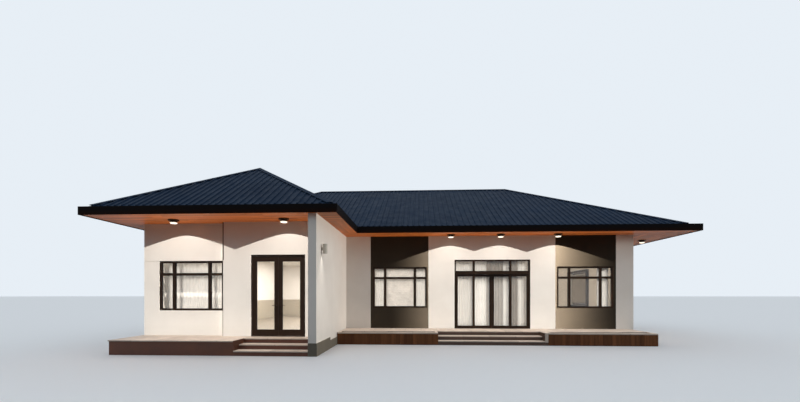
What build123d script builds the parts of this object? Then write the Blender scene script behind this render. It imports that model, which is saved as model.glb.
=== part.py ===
"""Single-storey bungalow: an L-shaped house with a hip roof of ribbed metal sheet.

Millimetres, +Z up, ground at Z 0. The street front faces -Y. A wing projects forward on the
left with a glazed double door behind a terrace; the main range lies behind it to the right,
with a four-panel sliding door behind a porch between two planters.
"""
from build123d import *
import math
import os

# Levels
RISER = 137.0
FLOOR = 3 * RISER
FLOOR_THICK = 150.0
PLINTH_TOP = FLOOR - FLOOR_THICK
PLINTH_PROUD = 20.0
FIN_PLINTH_TOP = 360.0
ROOM_HEIGHT = 3500.0
SOFFIT_Z = FLOOR + ROOM_HEIGHT
SOFFIT_THICK = 20.0
CEILING_DROP = 400.0
CEILING_THICK = 30.0

# Outline of the eaves
EAVE_HALF_LENGTH = 9560.0
EAVE_HALF_DEPTH = 7205.0
WING_EAVE_WIDTH = 7230.0
WING_REACH = 3445.0
WING_EAVE_RIGHT = -EAVE_HALF_LENGTH + WING_EAVE_WIDTH
MAIN_EAVE_FRONT = -EAVE_HALF_DEPTH + WING_REACH

# Outline of the walls, set in from the eaves
OVERHANG_LEFT = 760.0
OVERHANG_RIGHT = 1770.0
OVERHANG_BACK = 1005.0
OVERHANG_WING_FRONT = 1545.0
OVERHANG_WING_SIDE = 600.0
OVERHANG_MAIN_FRONT = 1010.0
WALL = 240.0
FRAME_SETBACK = 12.0
WALL_LEFT = -EAVE_HALF_LENGTH + OVERHANG_LEFT
WALL_RIGHT = EAVE_HALF_LENGTH - OVERHANG_RIGHT
WALL_BACK = EAVE_HALF_DEPTH - OVERHANG_BACK
WING_FRONT = -EAVE_HALF_DEPTH + OVERHANG_WING_FRONT
WING_RIGHT = WING_EAVE_RIGHT - OVERHANG_WING_SIDE
MAIN_FRONT = MAIN_EAVE_FRONT + OVERHANG_MAIN_FRONT

# Entry section of the wing, which stands proud of the window section
ENTRY_PROUD = 220.0
ENTRY_PIER = 416.0
WING_BAY = 2650.0
ENTRY_LEFT = WALL_LEFT + WING_BAY
ENTRY_FACE = WING_FRONT - ENTRY_PROUD

# Fin wall beside the terrace
FIN_THICK = 230.0
FIN_SETBACK = 165.0
FIN_FRONT = -EAVE_HALF_DEPTH + FIN_SETBACK
FIN_LEFT = WING_RIGHT - FIN_THICK
SKIRT_REACH = 430.0

# Bays of the main front
PIER_LEFT = 945.0
PIER_RIGHT = 630.0
BAY_WIDTH = 2207.0
BAY_LEFT_START = WING_RIGHT + PIER_LEFT
BAY_LEFT_END = BAY_LEFT_START + BAY_WIDTH
BAY_RIGHT_END = WALL_RIGHT - PIER_RIGHT
BAY_RIGHT_START = BAY_RIGHT_END - BAY_WIDTH

# Windows
SILL_HEIGHT = 779.0
WINDOW_SILL = FLOOR + SILL_HEIGHT
HEAD_HEIGHT = 2334.0
WINDOW_HEAD = FLOOR + HEAD_HEIGHT
TRANSOM_DROP = 417.0
TRANSOM = 62.0
BAY_WINDOW_WIDTH = 2060.0
BAY_LEFT_MARGIN = 88.0
BAY_LEFT_WINDOW = BAY_LEFT_START + BAY_LEFT_MARGIN
BAY_RIGHT_MARGIN = 62.0
BAY_RIGHT_WINDOW = BAY_RIGHT_START + BAY_RIGHT_MARGIN
WING_LEFT_MARGIN = 492.0
WING_WINDOW = WALL_LEFT + WING_LEFT_MARGIN
WING_RIGHT_MARGIN = 90.0
WING_WINDOW_END = ENTRY_LEFT - WING_RIGHT_MARGIN
SIDE_WINDOW_WIDTH = 1200.0
LEFT_REAR_BLANK = 3200.0
RIGHT_WINDOW_PLACE = 0.34
FRAME_FACE = 55.0
FRAME_DEPTH = 100.0
MULLION = 76.0
SIDE_LIGHT = 460.0
GLASS = 24.0
GROOVE = 14.0
GROOVE_DEPTH = 10.0
BACK_WINDOW_COUNT = 3
LEFT_WINDOW_COUNT = 2

# Glazed double door of the wing
ENTRY_WIDTH = 1678.0
ENTRY_X = WING_RIGHT - WALL - ENTRY_PIER - ENTRY_WIDTH
ENTRY_HEIGHT = 2494.0
ENTRY_HEAD = FLOOR + ENTRY_HEIGHT
JAMB = 40.0
JAMB_DEPTH = 70.0
SILL_RISE = 20.0
LEAF_THICK = 50.0
LEAF_STILE = 114.0
LEAF_TOP_RAIL = 155.0
LEAF_BOTTOM_RAIL = 180.0
RUN_GAP = 5.0
HANDLE_HEIGHT = 950.0
HANDLE_Z = FLOOR + HANDLE_HEIGHT
LEVER_LENGTH = 120.0
LEVER_STAND = 45.0
LEVER_SIZE = 18.0
LEVER_PLATE = 45.0
LEVER_PLATE_THICK = 8.0

# Hinges of the double door
HINGE_HEIGHTS = (250.0, 1200.0, 2150.0)
KNUCKLE_R = 9.0
KNUCKLE_LENGTH = 50.0
PIN_R = 5.0
FIT_GAP = 0.3
HINGE_STAND = 12.0
HINGE_PLATE = 3.0
HINGE_PLATE_WIDTH = 30.0

# Sliding door of the main front
SLIDER_PIER_LEFT = 983.496
SLIDER_PIER_RIGHT = 922.504
SLIDER_X = BAY_LEFT_END + SLIDER_PIER_LEFT
SLIDER_WIDTH = BAY_RIGHT_START - SLIDER_PIER_RIGHT - SLIDER_X
SLIDER_HEIGHT = 2600.0
SLIDER_HEAD = FLOOR + SLIDER_HEIGHT
SLIDER_BAR_HEIGHT = 2054.0
SLIDER_BAR_Z = FLOOR + SLIDER_BAR_HEIGHT
SLIDER_BAR = 116.0
SLIDER_DEPTH = 150.0
SLIDER_JAMB = 45.0
TRACK_GAP = 10.0
PANEL_THICK = 50.0
PANEL_STILE = 72.0
PANEL_BOTTOM_RAIL = 75.0
TRANSOM_POST = 60.0
RAIL_WIDTH = 6.0
RAIL_HEIGHT = 12.0
PULL_LENGTH = 260.0
PULL_SIZE = 20.0
PULL_STAND = 45.0

# Terrace, porch, steps and planters
PAVING = 30.0
NOSING = 20.0
WING_STEPS_WIDTH = 2080.0
WING_STEPS_LEFT = FIN_LEFT - WING_STEPS_WIDTH
WING_GOING = 340.0
PORCH_DEPTH = 1090.0
PORCH_FRONT = MAIN_FRONT - PORCH_DEPTH
PORCH_SHORT = 134.0
PORCH_RIGHT = WALL_RIGHT - PORCH_SHORT
MAIN_GOING = 300.0
STEPS_LEAD = 701.0
STEPS_LEFT = SLIDER_X - STEPS_LEAD
STEPS_RIGHT = SLIDER_X + SLIDER_WIDTH
STRINGER = 107.0
PLANTER_WALL = 90.0
PLANTER_BASE = 110.0
COPING = 40.0
COPING_WIDTH = 110.0
COPING_PROUD = 10.0

# Roof
FASCIA_DROP = 20.0
EAVE_RISE = 255.0
EAVE_Z = SOFFIT_Z + EAVE_RISE
LIP_RISE = 213.0
WING_GUTTER = 170.0
MAIN_GUTTER = 285.0
GUTTER_DEPTH = 110.0
GUTTER_METAL = 5.0
WING_PITCH = math.radians(31.7)
MAIN_PITCH = math.radians(27.35)
SHEET = 30.0
RIB_SPACING = 207.0
RIB_BASE = 70.0
RIB_TOP = 36.0
RIB_HEIGHT = 30.0
SHEET_LIP = 15.0
FASCIA_THICK = 25.0
FASCIA_BOTTOM = SOFFIT_Z - FASCIA_DROP
CAP_WIDTH = 120.0
CAP_THICK = 6.0
OVERCUT = 1000.0

# Lights
CANOPY_R = 150.0
CANOPY_THICK = 30.0
DRUM_R = 100.0
DRUM_DROP = 80.0
WING_LIGHT_SETBACK = 900.0
WING_LIGHT_A = 1380.0
WING_LIGHT_B = 1172.0
MAIN_LIGHT_SETBACK = 650.0
MAIN_LIGHT_LEAD = 166.0
MAIN_LIGHT_MIDDLE = 1654.0
MAIN_LIGHT_TRAIL = 3725.0
WING_LIGHTS = (WALL_LEFT + WING_LIGHT_A, ENTRY_X + WING_LIGHT_B)
MAIN_LIGHTS = (SLIDER_X - MAIN_LIGHT_LEAD, SLIDER_X + MAIN_LIGHT_MIDDLE, SLIDER_X + MAIN_LIGHT_TRAIL)
SIDE_LIGHT_SETBACK = 620.0
SIDE_LIGHT_LEAD = 1490.0
SIDE_LIGHT_Y = MAIN_FRONT + SIDE_LIGHT_LEAD
SCONCE_R = 65.0
SCONCE_HEIGHT = 270.0
SCONCE_LEAD = 560.0
SCONCE_Y = FIN_FRONT + SCONCE_LEAD
SCONCE_LEVEL = 2589.0
SCONCE_Z = FLOOR + SCONCE_LEVEL
SCONCE_STAND = 40.0


def block(x0, x1, y0, y1, z0, z1):
    """Box between two corners."""
    return Pos((x0 + x1) / 2, (y0 + y1) / 2, (z0 + z1) / 2) * Box(x1 - x0, y1 - y0, z1 - z0)


def prism(points, z0, z1):
    """Upright prism over a plan outline."""
    outline = Polyline(*[(x, y, z0) for x, y in points], close=True)
    return extrude(make_face(outline), amount=z1 - z0, dir=(0, 0, 1))


# Plan outlines

def eave_outline(wing_inset, main_inset):
    """L-shaped eave line, counter-clockwise from the wing's front left corner.

    The wing's inset holds along its front, its right side and the whole left side.
    """
    left, right = -EAVE_HALF_LENGTH + wing_inset, EAVE_HALF_LENGTH - main_inset
    front, back = -EAVE_HALF_DEPTH + wing_inset, EAVE_HALF_DEPTH - main_inset
    wing_right, main_front = WING_EAVE_RIGHT - wing_inset, MAIN_EAVE_FRONT + main_inset
    return [(left, front), (wing_right, front), (wing_right, main_front), (right, main_front),
            (right, back), (left, back)]


def wall_outline():
    """Outer faces of the walls."""
    return [(WALL_LEFT, WING_FRONT), (ENTRY_LEFT, WING_FRONT), (ENTRY_LEFT, ENTRY_FACE),
            (WING_RIGHT, ENTRY_FACE), (WING_RIGHT, MAIN_FRONT), (WALL_RIGHT, MAIN_FRONT),
            (WALL_RIGHT, WALL_BACK), (WALL_LEFT, WALL_BACK)]


def room_outline():
    """Inner faces of the walls."""
    entry_inner = ENTRY_FACE + WALL
    return [(WALL_LEFT + WALL, WING_FRONT + WALL), (ENTRY_LEFT + WALL, WING_FRONT + WALL),
            (ENTRY_LEFT + WALL, entry_inner), (WING_RIGHT - WALL, entry_inner),
            (WING_RIGHT - WALL, MAIN_FRONT + WALL), (WALL_RIGHT - WALL, MAIN_FRONT + WALL),
            (WALL_RIGHT - WALL, WALL_BACK - WALL), (WALL_LEFT + WALL, WALL_BACK - WALL)]


# Base of the house

def foundation():
    """Raft under the walls, with a plinth that stands proud on the open sides."""
    raft = prism(wall_outline(), 0, PLINTH_TOP)
    left = block(WALL_LEFT - PLINTH_PROUD, WALL_LEFT, WING_FRONT, WALL_BACK + PLINTH_PROUD, 0, PLINTH_TOP)
    back = block(WALL_LEFT, WALL_RIGHT, WALL_BACK, WALL_BACK + PLINTH_PROUD, 0, PLINTH_TOP)
    right = block(WALL_RIGHT, WALL_RIGHT + PLINTH_PROUD, MAIN_FRONT, WALL_BACK + PLINTH_PROUD,
                  0, PLINTH_TOP)
    wing = block(WING_RIGHT, WING_RIGHT + PLINTH_PROUD, ENTRY_FACE, MAIN_FRONT, 0, PLINTH_TOP)
    fin = block(FIN_LEFT, WING_RIGHT + PLINTH_PROUD, FIN_FRONT - PLINTH_PROUD, ENTRY_FACE,
                0, FIN_PLINTH_TOP)
    skirt = block(WING_RIGHT, WING_RIGHT + PLINTH_PROUD, ENTRY_FACE, ENTRY_FACE + SKIRT_REACH,
                  0, FIN_PLINTH_TOP)
    return raft + left + back + right + wing + fin + skirt


def floor_slab():
    """Floor between the walls, running out through the two doorways."""
    slab = prism(room_outline(), PLINTH_TOP, FLOOR)
    entry = block(ENTRY_X, ENTRY_X + ENTRY_WIDTH, ENTRY_FACE, ENTRY_FACE + WALL, PLINTH_TOP, FLOOR)
    slider = block(SLIDER_X, SLIDER_X + SLIDER_WIDTH, MAIN_FRONT, MAIN_FRONT + WALL, PLINTH_TOP, FLOOR)
    return slab + entry + slider


def ceiling():
    bottom = SOFFIT_Z - CEILING_DROP
    return prism(room_outline(), bottom, bottom + CEILING_THICK)


def flight(x0, x1, front, going):
    """Lower two of three steps without their paving; the landing behind is the third."""
    lower = block(x0, x1, front, front + going, 0, RISER - PAVING)
    upper = block(x0, x1, front + going, front + 2 * going, 0, 2 * RISER - PAVING)
    return lower + upper


def treads(x0, x1, front, going):
    """Paving of the lower two steps; each tread runs under the riser of the next."""
    return [block(x0, x1, front + i * going - NOSING, front + (i + 1) * going,
                  (i + 1) * RISER - PAVING, (i + 1) * RISER) for i in range(2)]


def terrace_outline(nosing=0.0):
    """Terrace before the wing, with its steps let into the front edge."""
    landing_front = FIN_FRONT + 2 * WING_GOING - nosing
    front = FIN_FRONT - nosing
    left = WALL_LEFT - nosing
    return [(left, front), (WING_STEPS_LEFT, front), (WING_STEPS_LEFT, landing_front),
            (FIN_LEFT, landing_front), (FIN_LEFT, ENTRY_FACE), (ENTRY_LEFT, ENTRY_FACE),
            (ENTRY_LEFT, WING_FRONT), (left, WING_FRONT)]


def terrace():
    """Terrace and its steps in one mass; the paving runs out a little over each riser."""
    mass = prism(terrace_outline(), 0, FLOOR - PAVING)
    mass += flight(WING_STEPS_LEFT, FIN_LEFT, FIN_FRONT, WING_GOING)
    mass += prism(terrace_outline(NOSING), FLOOR - PAVING, FLOOR)
    for tread in treads(WING_STEPS_LEFT, FIN_LEFT, FIN_FRONT, WING_GOING):
        mass += tread
    return mass


def porch_outline():
    """Edge of the porch paving: it overhangs the top riser and runs out over the side wall."""
    left = WING_RIGHT + PLINTH_PROUD
    front = PORCH_FRONT - 2 * MAIN_GOING
    side = STEPS_RIGHT + STRINGER
    return [(left, PORCH_FRONT), (STEPS_LEFT, PORCH_FRONT), (STEPS_LEFT, PORCH_FRONT - NOSING),
            (STEPS_RIGHT, PORCH_FRONT - NOSING), (STEPS_RIGHT, front), (side, front),
            (side, PORCH_FRONT), (PORCH_RIGHT, PORCH_FRONT), (PORCH_RIGHT, MAIN_FRONT),
            (left, MAIN_FRONT)]


def porch():
    """Porch along the main front with its steps and their low side wall, in one mass."""
    left = WING_RIGHT + PLINTH_PROUD
    front = PORCH_FRONT - 2 * MAIN_GOING
    mass = block(left, PORCH_RIGHT, PORCH_FRONT, MAIN_FRONT, 0, FLOOR - PAVING)
    mass += flight(STEPS_LEFT, STEPS_RIGHT, front, MAIN_GOING)
    mass += block(STEPS_RIGHT, STEPS_RIGHT + STRINGER, front, PORCH_FRONT, 0, FLOOR - PAVING)
    mass += prism(porch_outline(), FLOOR - PAVING, FLOOR)
    for tread in treads(STEPS_LEFT, STEPS_RIGHT, front, MAIN_GOING):
        mass += tread
    return mass


def planter(x0, x1):
    """Open box with a coping round its rim."""
    y0, y1 = PORCH_FRONT - 2 * MAIN_GOING, PORCH_FRONT
    body = block(x0, x1, y0, y1, 0, FLOOR - COPING)
    body -= block(x0 + PLANTER_WALL, x1 - PLANTER_WALL, y0 + PLANTER_WALL, y1 - PLANTER_WALL,
                  PLANTER_BASE, FLOOR)
    rim = block(x0, x1, y0 - COPING_PROUD, y1, FLOOR - COPING, FLOOR)
    rim -= block(x0 + COPING_WIDTH, x1 - COPING_WIDTH, y0 + COPING_WIDTH, y1 - COPING_WIDTH,
                 FLOOR - COPING, FLOOR)
    return body + rim


# Walls

WALL_TOP = SOFFIT_Z + SOFFIT_THICK


def wall(x0, x1, y0, y1, z0=PLINTH_TOP, z1=WALL_TOP):
    return block(x0, x1, y0, y1, z0, z1)


def wing_front_wall():
    """Window section of the wing, with a thin groove from the window's head to the corner."""
    opening = block(WING_WINDOW, WING_WINDOW_END, WING_FRONT, WING_FRONT + WALL, WINDOW_SILL, WINDOW_HEAD)
    groove = block(WALL_LEFT, WING_WINDOW, WING_FRONT, WING_FRONT + GROOVE_DEPTH,
                   WINDOW_HEAD - GROOVE, WINDOW_HEAD)
    return wall(WALL_LEFT, ENTRY_LEFT, WING_FRONT, WING_FRONT + WALL) - opening - groove


def entry_left_wall():
    """Pier left of the double door, with its return to the wing's front wall."""
    front = wall(ENTRY_LEFT, ENTRY_X, ENTRY_FACE, ENTRY_FACE + WALL)
    return front + wall(ENTRY_LEFT, ENTRY_LEFT + WALL, ENTRY_FACE + WALL, WING_FRONT + WALL)


def entry_right_wall():
    return wall(ENTRY_X + ENTRY_WIDTH, WING_RIGHT - WALL, ENTRY_FACE, ENTRY_FACE + WALL)


def entry_head_wall():
    return wall(ENTRY_X, ENTRY_X + ENTRY_WIDTH, ENTRY_FACE, ENTRY_FACE + WALL, ENTRY_HEAD)


def fin_wall():
    """Wall that runs forward from the wing's corner to the terrace's edge."""
    return block(FIN_LEFT, WING_RIGHT, FIN_FRONT, ENTRY_FACE,
                 FIN_PLINTH_TOP, SOFFIT_Z)


def wing_right_wall():
    """Side wall of the wing and the pier where the main front begins."""
    side = wall(WING_RIGHT - WALL, WING_RIGHT, ENTRY_FACE, MAIN_FRONT + WALL)
    return side + wall(WING_RIGHT, BAY_LEFT_START, MAIN_FRONT, MAIN_FRONT + WALL)


def bay_wall(x0, x1, window_x):
    """Dark clad bay of the main front with its window opening."""
    opening = block(window_x, window_x + BAY_WINDOW_WIDTH, MAIN_FRONT, MAIN_FRONT + WALL,
                    WINDOW_SILL, WINDOW_HEAD)
    return wall(x0, x1, MAIN_FRONT, MAIN_FRONT + WALL) - opening


def slider_side_wall(x0, x1):
    return wall(x0, x1, MAIN_FRONT, MAIN_FRONT + WALL)


def slider_head_wall():
    return wall(SLIDER_X, SLIDER_X + SLIDER_WIDTH, MAIN_FRONT, MAIN_FRONT + WALL, SLIDER_HEAD)


def window_starts(start, end, count, width):
    """Starts of evenly spread windows along a wall."""
    step = (end - start) / count
    return [start + (i + 0.5) * step - width / 2 for i in range(count)]


def back_window_starts():
    return window_starts(WALL_LEFT, WALL_RIGHT, BACK_WINDOW_COUNT, BAY_WINDOW_WIDTH)


def left_window_starts():
    return window_starts(WING_FRONT, WALL_BACK - LEFT_REAR_BLANK, LEFT_WINDOW_COUNT, SIDE_WINDOW_WIDTH)


def right_window_start():
    """The right side has one wide window, nearer to the street than to the back."""
    return MAIN_FRONT + WALL + RIGHT_WINDOW_PLACE * (WALL_BACK - MAIN_FRONT)


def right_wall():
    """Right side wall and the corner pier of the main front."""
    y = right_window_start()
    side = wall(WALL_RIGHT - WALL, WALL_RIGHT, MAIN_FRONT, WALL_BACK)
    side -= block(WALL_RIGHT - WALL, WALL_RIGHT, y, y + BAY_WINDOW_WIDTH, WINDOW_SILL, WINDOW_HEAD)
    return side + wall(BAY_RIGHT_END, WALL_RIGHT - WALL, MAIN_FRONT, MAIN_FRONT + WALL)


def left_wall():
    side = wall(WALL_LEFT, WALL_LEFT + WALL, WING_FRONT + WALL, WALL_BACK)
    for y in left_window_starts():
        side -= block(WALL_LEFT, WALL_LEFT + WALL, y, y + SIDE_WINDOW_WIDTH, WINDOW_SILL, WINDOW_HEAD)
    return side


def back_wall():
    rear = wall(WALL_LEFT + WALL, WALL_RIGHT - WALL, WALL_BACK - WALL, WALL_BACK)
    for x in back_window_starts():
        rear -= block(x, x + BAY_WINDOW_WIDTH, WALL_BACK - WALL, WALL_BACK, WINDOW_SILL, WINDOW_HEAD)
    return rear


# Windows, drawn with their outer lower left corner at the origin and the street at -Y

def light_rows():
    """Clear heights of the lights below and above the transom, from the sill."""
    head = WINDOW_HEAD - WINDOW_SILL
    bar = head - TRANSOM_DROP
    return [(FRAME_FACE, bar - TRANSOM / 2), (bar + TRANSOM / 2, head - FRAME_FACE)]


def light_columns(width):
    """Clear widths of the lights: three in a wide window, one in a narrow one."""
    if width < 3 * SIDE_LIGHT:
        return [(FRAME_FACE, width - FRAME_FACE)]
    first, last = SIDE_LIGHT, width - SIDE_LIGHT
    return [(FRAME_FACE, first - MULLION / 2), (first + MULLION / 2, last - MULLION / 2),
            (last + MULLION / 2, width - FRAME_FACE)]


def window_frame(width):
    frame = block(0, width, 0, FRAME_DEPTH, 0, WINDOW_HEAD - WINDOW_SILL)
    for x0, x1 in light_columns(width):
        for z0, z1 in light_rows():
            frame -= block(x0, x1, 0, FRAME_DEPTH, z0, z1)
    return frame


def window_panes(width):
    middle = FRAME_DEPTH / 2
    return [block(x0, x1, middle - GLASS / 2, middle + GLASS / 2, z0, z1)
            for x0, x1 in light_columns(width) for z0, z1 in light_rows()]


def front_windows():
    """Places and widths of the street windows."""
    wing = Location((WING_WINDOW, WING_FRONT + FRAME_SETBACK, WINDOW_SILL))
    left = Location((BAY_LEFT_WINDOW, MAIN_FRONT + FRAME_SETBACK, WINDOW_SILL))
    right = Location((BAY_RIGHT_WINDOW, MAIN_FRONT + FRAME_SETBACK, WINDOW_SILL))
    return [(wing, WING_WINDOW_END - WING_WINDOW), (left, BAY_WINDOW_WIDTH), (right, BAY_WINDOW_WIDTH)]


def rear_windows():
    """Places and widths of the windows at the back and sides."""
    places = []
    for x in back_window_starts():
        corner = (x + BAY_WINDOW_WIDTH, WALL_BACK - FRAME_SETBACK, WINDOW_SILL)
        places.append((Location(corner, (0, 0, 180)), BAY_WINDOW_WIDTH))
    for y in left_window_starts():
        corner = (WALL_LEFT + FRAME_SETBACK, y + SIDE_WINDOW_WIDTH, WINDOW_SILL)
        places.append((Location(corner, (0, 0, -90)), SIDE_WINDOW_WIDTH))
    corner = (WALL_RIGHT - FRAME_SETBACK, right_window_start(), WINDOW_SILL)
    places.append((Location(corner, (0, 0, 90)), BAY_WINDOW_WIDTH))
    return places


def frames(windows):
    return Compound([place * window_frame(width) for place, width in windows])


def panes(windows):
    return [place * pane for place, width in windows for pane in window_panes(width)]


# Double door of the wing

ENTRY_FRONT = ENTRY_FACE + FRAME_SETBACK
ENTRY_INNER = ENTRY_FRONT + JAMB_DEPTH
ENTRY_MIDDLE = ENTRY_X + ENTRY_WIDTH / 2
HINGE_Y = ENTRY_INNER + HINGE_STAND


def hinge_x(side):
    """Hinge axis, in the gap beside the leaf. side is -1 on the left and 1 on the right."""
    return ENTRY_MIDDLE + side * (ENTRY_WIDTH / 2 - JAMB - RUN_GAP / 2)


def knuckle(x, z, length, radius):
    return Pos(x, HINGE_Y, z + length / 2) * Cylinder(radius, length)


def hinge_socket(side, z):
    """Square lower half of a hinge, which carries the pin on the frame's side."""
    x = hinge_x(side)
    x0, x1 = sorted((x - side * PIN_R, x + side * KNUCKLE_R))
    return block(x0, x1, HINGE_Y - KNUCKLE_R, HINGE_Y + PIN_R, z, z + KNUCKLE_LENGTH)


def hinge_plate(side, z, on_frame):
    """Flat of a hinge, screwed to the jamb or to the leaf."""
    x = hinge_x(side)
    outward = side if on_frame else -side
    x0, x1 = sorted((x, x + outward * HINGE_PLATE_WIDTH))
    return block(x0, x1, ENTRY_INNER, ENTRY_INNER + HINGE_PLATE + FIT_GAP, z, z + KNUCKLE_LENGTH)


def entry_frame():
    """Jambs, head and sill, with the pinned lower halves of the hinges."""
    x0, x1 = ENTRY_X, ENTRY_X + ENTRY_WIDTH
    frame = block(x0, x1, ENTRY_FRONT, ENTRY_INNER, FLOOR, ENTRY_HEAD)
    frame -= block(x0 + JAMB, x1 - JAMB, ENTRY_FRONT, ENTRY_INNER, FLOOR + SILL_RISE, ENTRY_HEAD - JAMB)
    for side in (-1, 1):
        for height in HINGE_HEIGHTS:
            z = FLOOR + height
            frame += hinge_socket(side, z)
            frame += knuckle(hinge_x(side), z + KNUCKLE_LENGTH, KNUCKLE_LENGTH, PIN_R)
            frame += hinge_plate(side, z, True)
    return frame


def leaf_edges(side):
    """X of a leaf's hinge edge and of its meeting edge."""
    hinge_edge = ENTRY_MIDDLE + side * (ENTRY_WIDTH / 2 - JAMB - RUN_GAP)
    return hinge_edge, ENTRY_MIDDLE + side * RUN_GAP / 2


def leaf_glass_box(side, y0, y1):
    x0, x1 = sorted(leaf_edges(side))
    return block(x0 + LEAF_STILE, x1 - LEAF_STILE, y0, y1,
                 FLOOR + SILL_RISE + LEAF_BOTTOM_RAIL, ENTRY_HEAD - JAMB - LEAF_TOP_RAIL)


def lever(side, face, outward):
    """Lever handle on one face of a leaf, pointing away from the meeting edge."""
    x = leaf_edges(side)[1] + side * LEAF_STILE / 2
    half = LEVER_SIZE / 2

    def slab(x0, x1, reach0, reach1, height):
        y0, y1 = sorted((face + outward * reach0, face + outward * reach1))
        return block(*sorted((x0, x1)), y0, y1, HANDLE_Z - height / 2, HANDLE_Z + height / 2)

    plate = slab(x - LEVER_PLATE / 2, x + LEVER_PLATE / 2, 0, LEVER_PLATE_THICK, LEVER_PLATE)
    neck = slab(x - half, x + half, 0, LEVER_STAND, LEVER_SIZE)
    grip = slab(x - side * half, x + side * LEVER_LENGTH, LEVER_STAND - half, LEVER_STAND, LEVER_SIZE)
    return plate + neck + grip


def entry_leaf(side):
    """One leaf with its stiles and rails, levers and the upper halves of its hinges."""
    x0, x1 = sorted(leaf_edges(side))
    outer = ENTRY_INNER - LEAF_THICK
    leaf = block(x0, x1, outer, ENTRY_INNER, FLOOR + SILL_RISE + RUN_GAP, ENTRY_HEAD - JAMB - RUN_GAP)
    leaf -= leaf_glass_box(side, outer, ENTRY_INNER)
    leaf += lever(side, outer, -1)
    leaf += lever(side, ENTRY_INNER, 1)
    for height in HINGE_HEIGHTS:
        z = FLOOR + height + KNUCKLE_LENGTH + FIT_GAP
        leaf += knuckle(hinge_x(side), z, KNUCKLE_LENGTH, KNUCKLE_R)
        leaf += hinge_plate(side, z, False)
        leaf -= knuckle(hinge_x(side), z, KNUCKLE_LENGTH, PIN_R + FIT_GAP)
    return leaf


def entry_glass(side):
    middle = ENTRY_INNER - LEAF_THICK / 2
    return leaf_glass_box(side, middle - GLASS / 2, middle + GLASS / 2)


# Sliding door of the main front

SLIDER_FRONT = MAIN_FRONT + FRAME_SETBACK
SLIDER_MIDDLE = SLIDER_X + SLIDER_WIDTH / 2
SLIDER_QUARTER = (SLIDER_WIDTH / 2 - SLIDER_JAMB) / 2
SLIDER_BASE = FLOOR + SILL_RISE
FIXED_Y = SLIDER_FRONT + (SLIDER_DEPTH - TRACK_GAP) / 2 - PANEL_THICK
MOVING_Y = FIXED_Y + PANEL_THICK + TRACK_GAP


def slider_ring(x0, x1, y0, z0, z1, bottom_rail):
    """Stiles and rails of one panel."""
    ring = block(x0, x1, y0, y0 + PANEL_THICK, z0, z1)
    return ring - block(x0 + PANEL_STILE, x1 - PANEL_STILE, y0, y0 + PANEL_THICK,
                        z0 + bottom_rail, z1 - PANEL_STILE)


def panel_glass(x0, x1, y0, z0, z1, bottom_rail):
    middle = y0 + PANEL_THICK / 2
    return block(x0 + PANEL_STILE, x1 - PANEL_STILE, middle - GLASS / 2, middle + GLASS / 2,
                 z0 + bottom_rail, z1 - PANEL_STILE)


def fixed_panel_edges(side):
    outer = SLIDER_MIDDLE + side * (SLIDER_WIDTH / 2 - SLIDER_JAMB)
    inner = SLIDER_MIDDLE + side * (SLIDER_QUARTER - PANEL_STILE / 2)
    return sorted((outer, inner))


def moving_panel_edges(side):
    outer = SLIDER_MIDDLE + side * (SLIDER_QUARTER + PANEL_STILE / 2)
    inner = SLIDER_MIDDLE + side * RUN_GAP / 2
    return sorted((outer, inner))


def track_rail(z0, z1, gap=0.0):
    """Rail that a sliding panel runs on, or with a gap the groove that takes it."""
    middle = MOVING_Y + PANEL_THICK / 2
    x0, x1 = SLIDER_X + SLIDER_JAMB, SLIDER_X + SLIDER_WIDTH - SLIDER_JAMB
    return block(x0, x1, middle - RAIL_WIDTH / 2 - gap, middle + RAIL_WIDTH / 2 + gap, z0, z1 + gap)


def transom_lights():
    """X ranges of the three lights over the sliding door."""
    left, right = SLIDER_X + SLIDER_JAMB, SLIDER_X + SLIDER_WIDTH - SLIDER_JAMB
    post0, post1 = SLIDER_MIDDLE - SLIDER_QUARTER, SLIDER_MIDDLE + SLIDER_QUARTER
    half = TRANSOM_POST / 2
    return [(left, post0 - half), (post0 + half, post1 - half), (post1 + half, right)]


def slider_frame():
    """Outer frame, transom bar, rails and the two fixed panels' stiles and rails."""
    x0, x1 = SLIDER_X, SLIDER_X + SLIDER_WIDTH
    y0, y1 = SLIDER_FRONT, SLIDER_FRONT + SLIDER_DEPTH
    frame = block(x0, x1, y0, y1, FLOOR, SLIDER_HEAD)
    frame -= block(x0 + SLIDER_JAMB, x1 - SLIDER_JAMB, y0, y1, SLIDER_BASE, SLIDER_BAR_Z)
    for light0, light1 in transom_lights():
        frame -= block(light0, light1, y0, y1, SLIDER_BAR_Z + SLIDER_BAR, SLIDER_HEAD - SLIDER_JAMB)
    frame += track_rail(SLIDER_BASE, SLIDER_BASE + RAIL_HEIGHT)
    for side in (-1, 1):
        edge0, edge1 = fixed_panel_edges(side)
        frame += slider_ring(edge0, edge1, FIXED_Y, SLIDER_BASE, SLIDER_BAR_Z, PANEL_BOTTOM_RAIL)
    return frame


def slider_fixed_panes():
    middle = FIXED_Y + PANEL_THICK / 2
    panes_over = [block(x0, x1, middle - GLASS / 2, middle + GLASS / 2,
                        SLIDER_BAR_Z + SLIDER_BAR, SLIDER_HEAD - SLIDER_JAMB) for x0, x1 in transom_lights()]
    beside = [panel_glass(*fixed_panel_edges(side), FIXED_Y, SLIDER_BASE, SLIDER_BAR_Z,
                          PANEL_BOTTOM_RAIL) for side in (-1, 1)]
    return panes_over + beside


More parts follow.
